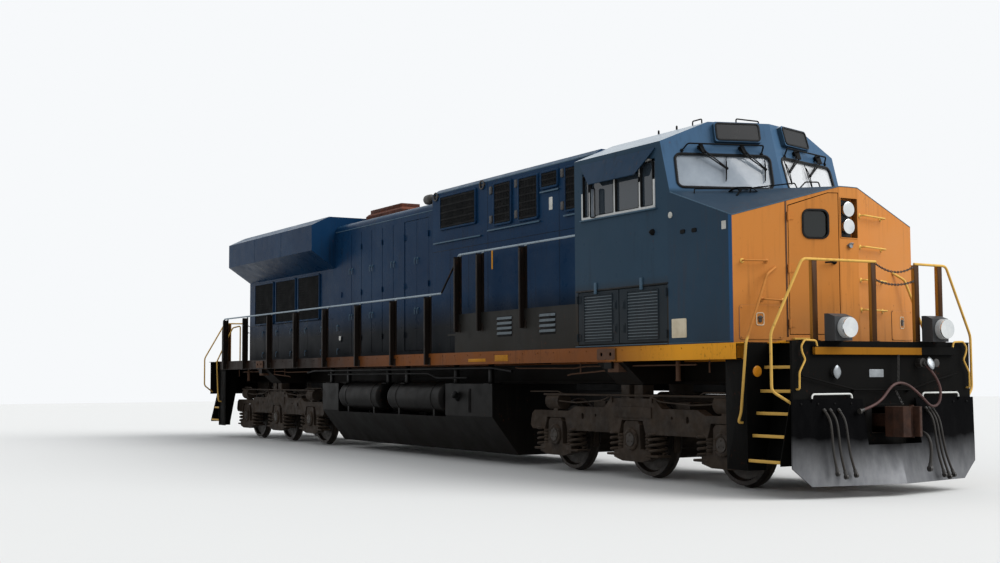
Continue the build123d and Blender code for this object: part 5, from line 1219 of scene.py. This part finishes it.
# Tank and reservoirs: straps, drain valves, a link, filler and sight glass
tank = {
    "reservoir": (-1.215, 1.095, 0.281), "straps": (-2.30, -1.10, 0.0, 1.40), "drains": (-1.7, 0.7),
    "drainZ": 0.822, "drain": ((0.018, 0), (0.018, 0.05), (0.028, 0.055), (0.028, 0.075)),
    "link": ((-0.79, -1.215, 1.20), (-0.70, -1.215, 1.24), (-0.50, -1.215, 1.24), (-0.41, -1.215, 1.20)),
    "filler": (((0.070, 0.0), (0.070, 0.05), (0.055, 0.055), (0.055, 0.10)), (2.35, -1.42, 1.10)),
    "fillerCap": (((0.064, 0.0), (0.066, 0.03), (0.050, 0.042), (0.012, 0.046)), (2.35, -1.505, 1.15)),
    "fillerAxis": (0, -0.85, 0.5),
    "gauge": (((2.72, -1.462, 0.86), (2.80, -1.448, 1.26), 0.004),
              ((2.745, -1.470, 0.90), (2.775, -1.458, 1.22), 0.003)),
}
y, z, radius = tank["reservoir"]
band = [(radius + proud, along) for proud, along in ((0, -0.025), (0.006, -0.022), (0.006, 0.022), (0, 0.025))]
straps = [lathe(band, (x, y, z), (1, 0, 0), 40) for x in tank["straps"]]
drains = [lathe(tank["drain"], (x, y, tank["drainZ"]), (0, 0, -1), 12) for x in tank["drains"]]
makePiece("reservoir_straps", bothSides(*straps, *drains, tube(tank["link"], 0.02)), tankEnamel)
filler = [lathe(*tank[part], tank["fillerAxis"], 24) for part in ("filler", "fillerCap")]
makePiece("tank_filler_and_gauge", bothSides(*filler, *[slab(*plate) for plate in tank["gauge"]]), blackEnamel)
print("tank done")

# Bogies: bearing covers with bolts, coils on wings beside the axle boxes, pipes, cap bolts of the wheelsets
bogie = {
    "centre": 6.964, "pitch": 2.006, "axleZ": 0.5615, "half": 1.145,
    "cover": ((0.112, -0.004), (0.158, -0.004), (0.158, 0.018), (0.146, 0.028), (0.122, 0.030), (0.112, 0.024)),
    "bolt": (0.013, 0.012), "boltCircle": 0.138, "boltOut": 0.026, "cap": (0.010, 0.010), "capHalf": 1.179,
    "capCircle": 0.055, "coil": {"radius": 0.118, "wire": 0.021, "low": 0.377, "high": 0.650, "turns": 4},
    "coilShift": 0.465, "coilHalf": 1.03, "wing": ((-0.15, -1.150, 0.322), (0.15, -0.905, 0.356), 0.006),
    "pipeEnd": 2.62, "endPipe": ((0, -0.80, 1.02), (0.05, -0.80, 0.80), (-0.02, -0.80, 0.45), (-0.09, -0.77, 0.24)),
    "bracket": ((-0.03, -1.01, 0.88), (0.03, -0.78, 0.92), 0.004),
    "pipe": ((2.0, -1.165, 1.09), (1.4, -1.165, 1.06), (0.7, -1.165, 1.10), (0.5, -1.165, 1.165)),
    "longPipe": ((-2.70, -1.165, 1.222), (-1.88, -1.165, 1.228), (-1.72, -1.165, 1.176), (1.56, -1.165, 1.176),
                 (1.64, -1.165, 1.228), (2.10, -1.165, 1.230)),
}


def coilShape(middle, s):
    # A wire that climbs evenly while it turns, flat for the first and last quarter turn
    t = np.linspace(0, 1, 20 * s["turns"] + 1)
    angle = 2 * math.pi * s["turns"] * t
    quarter = 0.25 / s["turns"]
    climb = np.clip((t - quarter) / (1 - 2 * quarter), 0, 1)
    route = np.column_stack([middle[0] + s["radius"] * np.cos(angle), middle[1] + s["radius"] * np.sin(angle),
                             s["low"] + (s["high"] - s["low"]) * climb])
    return carry(route, circle(s["wire"], 8))


def bogieShapes(s):
    # Covers are rings round each axle's end, coils stand on wings of the axle boxes, pipes follow the frame's end
    covers, coils, pipes = [], [], []
    ring = np.insert(circle(s["boltCircle"], 6, math.pi / 6), 1, 0, 1)
    for x in s["centre"] + s["pitch"] * np.array([-1, 0, 1]):
        covers.append(lathe(s["cover"], (x, -s["half"], s["axleZ"]), (0, -1, 0), 36))
        covers.append(repeat(dome(*s["bolt"], (x, -s["half"] - s["boltOut"], s["axleZ"]), (0, -1, 0)), ring))
        for shift in (-s["coilShift"], s["coilShift"]):
            coils.append(coilShape((x + shift, -s["coilHalf"]), s["coil"]))
            coils.append(moved(slab(*s["wing"]), (x + shift, 0, 0)))
    for turn in (1, -1):
        end = s["centre"] + turn * s["pipeEnd"]
        pipes.append(tube([(end + turn * along, y, z) for along, y, z in s["endPipe"]], 0.020, 0.08))
        pipes.append(moved(slab(*s["bracket"]), (end, 0, 0)))
    for turn in (-1, 1):
        pipes.append(tube([(s["centre"] + turn * along, y, z) for along, y, z in s["pipe"]], 0.011, 0.08, 8))
    pipes.append(tube([(s["centre"] + along, y, z) for along, y, z in s["longPipe"]], 0.010, 0.05, 8))
    return [bothSides(*shapes) for shapes in (covers, coils, pipes)]


bogieParts = bogieShapes(bogie)
for place, turn in (("front", same), ("rear", otherEnd)):
    for part, shape in zip(("bearing_covers", "coils", "bogie_pipes"), bogieParts):
        makePiece(f"{place}_{part}", turn(shape), bogieCasting, place + "_bogie")
cap = dome(*bogie["cap"], (0, -bogie["capHalf"], bogie["axleZ"]), (0, -1, 0))
caps = bothSides(repeat(cap, np.insert(circle(bogie["capCircle"], 3, math.pi / 2), 1, 0, 1)))
for number in range(6):
    x = (1 if number < 3 else -1) * bogie["centre"] + (1 - number % 3) * bogie["pitch"]
    makePiece(f"wheelset_{number + 1}_cap_bolts", moved(caps, (x, 0, 0)), wheelSteel, f"wheelset_{number + 1}")
print("bogies done")

# Pilot: receptacle lids and cups, blank plates, reflectors on the steps
pilot = {
    "lids": ((10.740, -0.843, 1.492, 0.0), (10.835, 0.640, 1.595, -0.35)), "lid": (0.060, 0.085),
    "lidLevels": ((1, 0.0), (1, 0.008), (0.9, 0.014), (0.5, 0.018)), "cupX": 10.688,
    "cups": ((-0.843, 1.492, 0.05), (0.843, 1.60, 0.06)), "plate": (0.24, 0.095, 0.01, 0.006, 0.002),
    "platePlace": (10.69, -0.146, 1.475), "reflector": (9.912, -1.366, 1.506),
    "reflectorProfile": ((0.068, 0.0), (0.068, 0.010), (0.0612, 0.014), (0.0272, 0.018)), "bolts": (-1.4, 1.4, 12),
    "boltZ": 1.115, "bareHalf": 0.5, "ledgeLip": ((10.690, -1.19, 1.700), (10.752, 1.19, 1.712), 0.003),
}


def lidShape(tilt):
    # A shield with two points: its half width is a power of the cosine of the height. Then it leans by the tilt
    t = np.linspace(-1, 1, 13)
    wide, tall = pilot["lid"]
    half = wide * np.cos(t * math.pi / 2) ** 0.7
    rim = np.concatenate([np.column_stack([half, tall * t]), np.column_stack([-half, tall * t])[-2:0:-1]])
    points, faces = rings([np.insert(rim * k, 2, level, 1) for k, level in pilot["lidLevels"]])
    lean = np.array([[1, 0, 0], [0, math.cos(tilt), -math.sin(tilt)], [0, math.sin(tilt), math.cos(tilt)]])
    return points @ lean.T, faces


lids = [onFront(lidShape(tilt), *place) for *place, tilt in pilot["lids"]]
cups = [lathe([(0.050, 0.0), (0.052, reach), (0.044, reach + 0.002)], (pilot["cupX"], y, z), (1, 0, 0), 20)
        for y, z, reach in pilot["cups"]]
makePiece("receptacle_lids", join(*lids, *[turnedRound(lid) for lid in lids]), alloyFrame)
makePiece("receptacle_cups", bothEnds(*cups), fittingIron)
makePiece("blank_end_plates", bothEnds(onFront(roundedPlate(*pilot["plate"]), *pilot["platePlace"])), alloyFrame)
disc = lathe(pilot["reflectorProfile"], pilot["reflector"], (1, 0, 0), 28)
makePiece("step_reflectors", bothEnds(bothSides(disc)), reflectorAmber)


def chainShape(start, end, sag, pitch=0.034, wire=0.005):
    # Links turned a quarter turn each, along a line between two points that sags as a parabola
    start, end = np.asarray(start, float), np.asarray(end, float)
    t = np.linspace(0, 1, 41)[:, None]
    line = start + (end - start) * t - np.array([0, 0, 4 * sag]) * t * (1 - t)
    reach = np.concatenate([[0], np.cumsum(np.linalg.norm(np.diff(line, axis=0), axis=1))])
    count = int(reach[-1] / (pitch * 0.8))
    flat, links = frameRing(pitch, pitch * 0.62, pitch * 0.30, circle(wire, 6), 3), []
    for i in range(count):
        place = (i + 0.5) / count * reach[-1]
        centre, ahead, behind = (np.array([np.interp(place + step, reach, line[:, k]) for k in range(3)])
                                 for step in (0, 0.01, -0.01))
        across, up, along = basis(ahead - behind)
        links.append(placed(flat, centre, along, np.cross(along, across if i % 2 else up)))
    return join(*links)


# Rails of both ends: across the platform with a gap, beside and behind the steps, grab irons, irons on the roof
endRails = {
    "radius": 0.017, "x": 10.665, "bow": (10.55, 1.70), "foot": (10.651, 1.46, 1.110),
    "post": (0.042, 0.006, 0.045), "sides": ((-1, 0.089, 1.290, 2.846), (1, 0.577, 1.145, 2.842)),
    "posts": ((-1, 0.133), (-1, 1.105), (1, 0.612), (1, 1.028)),
    "stepRoute": ((9.88, 1.01, 2.80), (9.925, 1.19, 2.705), (9.966, 1.578, 1.86), (9.855, 1.578, 1.01),
                  (9.80, 1.578, 0.885), (9.80, 1.512, 0.880)),
    "deck": 1.862, "postTop": 2.838, "bowLevels": (1.95, 1.272),
    "rightGrabs": ((0.127, 2.880, 0.447, 2.880), (0.385, 2.400, 0.658, 2.385)),
    "leftGrabs": tuple((0.858, z, 1.420, z) for z in (3.489, 3.087, 2.663, 2.283)), "reach": 0.075,
    "grabRadius": 0.011, "grabFoot": ((0.030, 0.0), (0.030, 0.006), (0.016, 0.012)), "cornerX": (10.74, 10.688),
    "corner": ((1.150, 1.798), (1.168, 1.866), (1.345, 1.872), (1.400, 1.800), (1.392, 1.735), (1.340, 1.640),
               (1.436, 1.490), (1.440, 1.290)),
    "roofIrons": (((8.48, -0.42), (8.48, -0.02)), ((8.05, -0.83), (8.25, -0.83))), "roof": 4.896,
    "ironHeight": 0.067, "aerial": ((0.014, 0.0), (0.014, 0.055), (0.008, 0.068)),
    "aerials": ((7.26, -0.82), (7.68, -0.82)),
    "chains": (((10.760, 0.165, 1.697), (10.790, 0.118, 1.340), 0.0),
               ((10.745, 0.120, 1.262), (10.86, 0.120, 1.085), 0.0)),
    "gapChains": (((10.665, -0.098, 2.828), (10.665, 0.577, 2.812), 0.09),
                  ((10.665, -0.098, 2.625), (10.665, 0.577, 2.630), 0.055)),
}


def endRailShapes(s):
    # Round bars along rounded routes, flat posts under the platform's rail, and irons that stand off on two feet
    rails, posts, irons = [], [], []
    bowX, bowY = s["bow"]
    footX, footY, footZ = s["foot"]
    for side, start, corner, z in s["sides"]:
        route = [(s["x"], side * start, z), (s["x"], side * corner, z - 0.006),
                 *[(bowX, side * bowY, level) for level in s["bowLevels"]],
                 (footX, side * footY, footZ)]
        rail = tube(route, s["radius"], 0.06, 12)
        rails += [rail, turnedRound(rail)]
    half, thick, flangeDepth = s["post"]
    for side, y in s["posts"]:
        y, deck = side * y, s["deck"]
        post = [slab((s["x"] - thick, y - half, deck), (s["x"] + thick, y + half, s["postTop"]), 0.002),
                slab((s["x"] - flangeDepth, y - half, deck), (s["x"], y - half + 0.008, s["postTop"] - 0.008), 0.002),
                slab((s["x"] - 0.014, y - half - 0.02, deck + 0.001), (s["x"] + 0.024, y + half + 0.02, deck + 0.011),
                     0.003)]
        posts += [*post, *[turnedRound(shape) for shape in post]]
    x, y, z = s["stepRoute"][0]
    rearRoute = [(x, y, s["deck"]), (x, y, z - 0.05), *s["stepRoute"][1:]]
    rails.append(bothSides(tube(s["stepRoute"], s["radius"], 0.04, 12)))
    rails.append(bothSides(otherEnd(tube(rearRoute, s["radius"], 0.04, 12))))
    for grabs, turn in ((s["rightGrabs"], same), (s["leftGrabs"], otherSide)):
        for a, lowZ, b, highZ in grabs:
            spots = [(a, lowZ, -0.004), (a, lowZ, s["reach"]), (b, highZ, s["reach"]), (b, highZ, -0.004)]
            rails.append(turn(tube([nosePoint(*spot) for spot in spots], s["grabRadius"], 0.025)))
            foot = lathe(s["grabFoot"], (0, 0, 0), (0, 0, 1), 14)
            rails += [turn(onNose(foot, along, level)) for along, level in ((a, lowZ), (b, highZ))]
    near, far = s["cornerX"]
    route = [(near, y, z) for y, z in s["corner"]] + [(far, *s["corner"][-1])]
    rails.append(bothEnds(bothSides(tube(route, 0.012, 0.028))))
    low, top = s["roof"], s["roof"] + s["ironHeight"]
    for start, end in s["roofIrons"]:
        irons.append(tube([(*start, low), (*start, top), (*end, top), (*end, low)], 0.010, 0.025, 8))
    irons += [lathe(s["aerial"], (x, y, low), (0, 0, 1), 12) for x, y in s["aerials"]]
    return join(*rails), join(*posts), join(*irons)


railShape, postShape, ironShape = endRailShapes(endRails)
endRailPiece = makePiece("end_rails", railShape, railEnamel)
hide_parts("end_handrails")
makePiece("end_rail_posts", postShape, postEnamel)
makePiece("roof_irons_and_aerials", ironShape, blackEnamel)
chains = [chainShape(*line) for line in endRails["chains"]]
gapChains = [chainShape(*line) for line in endRails["gapChains"]]
makePiece("end_chains", join(*chains, *gapChains, *[turnedRound(chain) for chain in gapChains]), fittingIron)

# End plates: a foot round the coupler's shank, closed stair sides with a sloped back, an apron beside the bogie's end
endSheets = {
    "x": (10.652, 10.688), "footHalf": 0.340, "footLow": 0.590, "openHalf": 0.230, "openLow": 0.750, "top": 1.112,
    "rear": ((0.962, 1.850), (1.535, 1.850), (1.535, 0.300), (1.240, 0.300), (1.240, 0.380)),
    "rearDepth": (9.901, 9.911), "slope": ((0.962, 1.850), (0.975, 1.850), (1.255, 0.380), (1.242, 0.380)),
    "stairs": (9.900, 10.500), "footTop": 1.06, "apron": ((9.490, 1.500, 0.300), (9.906, 1.512, 1.658), 0.002),
}


def endSheetShapes(s):
    # Four bars leave the opening for the shank; sheets are polygons across the locomotive
    x0, x1 = s["x"]
    half, gap = s["footHalf"], s["openHalf"]
    foot = [slab((x0, -half, s["footLow"]), (x1, half, s["openLow"]), 0.002),
            slab((x0, -half, s["footTop"]), (x1, half, s["top"]), 0.002)]
    foot += [slab((x0, side * gap, s["openLow"] - 0.002), (x1, side * half, s["footTop"] + 0.002), 0.002)
             for side in (-1, 1)]
    sheets = [prism(s[outline], (x0, x0, x1, x1))
              for outline, (x0, x1) in (("rear", s["rearDepth"]), ("slope", s["stairs"]))]
    return join(bothEnds(*foot), bothEnds(bothSides(*sheets, slab(*s["apron"]))))


makePiece("stair_sheets_and_plate_feet", endSheetShapes(endSheets), pilotEnamel)
z = pilot["boltZ"]
heads = [dome(0.014, 0.012, (bladeFace(y, z), y, z), (1, 0, 0))
         for y in np.linspace(*pilot["bolts"]) if abs(y) > pilot["bareHalf"]]
makePiece("plough_bolts", join(*heads), blackEnamel)
makePiece("ledge_lip", bothEnds(slab(*pilot["ledgeLip"])), pilotEnamel)
print("pilot done")


# Cab inside: two padded seats on posts, and a desk with screens and levers
def cushion(size, centre, crown=0.35, steps=14):
    # A rounded block: each coordinate of a ball is raised to a small power, so its sides flatten
    def flattened(value):
        return np.sign(value) * np.abs(value) ** crown

    u = np.linspace(-math.pi / 2, math.pi / 2, steps)[:, None]
    v = np.linspace(0, 2 * math.pi, 2 * steps, endpoint=False)
    columns = (flattened(np.cos(u)) * flattened(np.cos(v)), flattened(np.cos(u)) * flattened(np.sin(v)),
               flattened(np.sin(u)) + 0 * v)
    return rings(np.stack(columns, -1)[1:-1] * np.asarray(size) / 2 + np.asarray(centre))


seats = {
    "half": 0.95, "cushion": ((0.50, 0.50, 0.13), (7.25, 3.245)), "back": ((0.13, 0.48, 0.66), (7.035, 3.64)),
    "post": ((0.16, 0.0), (0.15, 0.02), (0.06, 0.04), (0.055, 0.38), (0.12, 0.42)), "postPlace": (7.26, 2.752),
    "arm": ((7.04, 3.45), (7.30, 3.47), (7.36, 3.45)), "armShift": 0.27, "armRadius": 0.022,
}
desk = {
    "section": ((7.76, 2.755), (8.24, 2.755), (8.24, 3.34), (7.96, 3.34), (7.76, 3.225)),
    "ends": (-1.34, -1.33, 1.33, 1.34), "screens": (-1.05, -0.62, 0.95),
    "screen": ((7.98, -0.17, 3.36), (8.02, 0.17, 3.62), 0.008), "levers": (-1.2, -1.12, -0.85),
    "lever": ((0.010, 0), (0.010, 0.10), (0.022, 0.105), (0.022, 0.14), (0.010, 0.145)), "leverPlace": (7.88, 3.29),
    "leverAxis": (-0.3, 0, 1), "floor": ((6.24, -1.48, 2.751), (8.33, 1.48, 2.757), 0.002),
}
for side, y in (("right", -seats["half"]), ("left", seats["half"])):
    for label in ("cushion", "back"):
        size, (x, z) = seats[label]
        piece = makePiece(f"{side}_seat_{label}", cushion(size, (x, y, z)), seatVinyl, smoothAngle=80)
posts = []
for y in (-seats["half"], seats["half"]):
    x, z = seats["postPlace"]
    posts.append(lathe(seats["post"], (x, y, z), (0, 0, 1), 24))
    posts += [tube([(x, y + shift, z) for x, z in seats["arm"]], seats["armRadius"], 0.03)
              for shift in (seats["armShift"], -seats["armShift"])]
x, z = desk["leverPlace"]
levers = [lathe(desk["lever"], (x, y, z), desk["leverAxis"], 12) for y in desk["levers"]]
deskShape = join(prism(desk["section"], desk["ends"], 1), *posts, row(slab(*desk["screen"]), 1, desk["screens"]),
                 *levers)
deskPiece = makePiece("desk_and_seat_posts", deskShape, cabGrey)
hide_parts("cab_seats_and_desk")
makePiece("cab_floor_cover", slab(*desk["floor"]), cabGrey)
print("cab inside done")

# Plain floor, backdrop colour and soft light
light = {
    "skyColour": "#F4F7FB", "skyStrength": 0.72, "backdrop": "#F7F9FB", "sunStrength": 2.6, "sunAngle": 45,
    "sunTurn": (50, 0, 128), "floorReach": 60, "floorSeen": "#DCDCDA", "floorBounce": "#A9A7A3",
}


def setLight(s):
    # The backdrop shows to the camera and in glass and gloss, the sky lights the rest
    world = scene.world = bpy.data.worlds.new("world")
    world.use_nodes = True
    tree = world.node_tree
    tree.nodes.clear()
    path = addNode(tree, "LightPath")
    seen = addNode(tree, "Math", [path["Is Camera Ray"], path["Is Transmission Ray"]], operation="MAXIMUM")[0]
    seen = addNode(tree, "Math", [seen, path["Is Glossy Ray"]], operation="MAXIMUM")[0]
    glow = addNode(tree, "Background", [linear(s["skyColour"]), s["skyStrength"]])[0]
    backdrop = addNode(tree, "Background", [linear(s["backdrop"]), 1.0])[0]
    addNode(tree, "OutputWorld", {"Surface": addNode(tree, "MixShader", [seen, glow, backdrop])[0]})
    sun = bpy.data.lights.new("sun", "SUN")
    sun.energy, sun.angle = s["sunStrength"], math.radians(s["sunAngle"])
    lamp = bpy.data.objects.new("sun", sun)
    lamp.rotation_euler = [math.radians(a) for a in s["sunTurn"]]
    scene.collection.objects.link(lamp)
    mesh = bpy.data.meshes.new("floor")
    reach = s["floorReach"]
    mesh.from_pydata([(-reach, -reach, 0), (reach, -reach, 0), (reach, reach, 0), (-reach, reach, 0)], [],
                     [(0, 1, 2, 3)])
    floorMaterial, tree, shader, _ = newMaterial("palePlaster")
    bounce = layered(tree, s["floorSeen"], (addNode(tree, "LightPath")["Is Diffuse Ray"], s["floorBounce"]))
    fill(tree, shader, {"Base Color": bounce, "Roughness": 0.9})
    mesh.materials.append(floorMaterial)
    floor = bpy.data.objects.new("floor", mesh)
    scene.collection.objects.link(floor)


setLight(light)
print("light done")
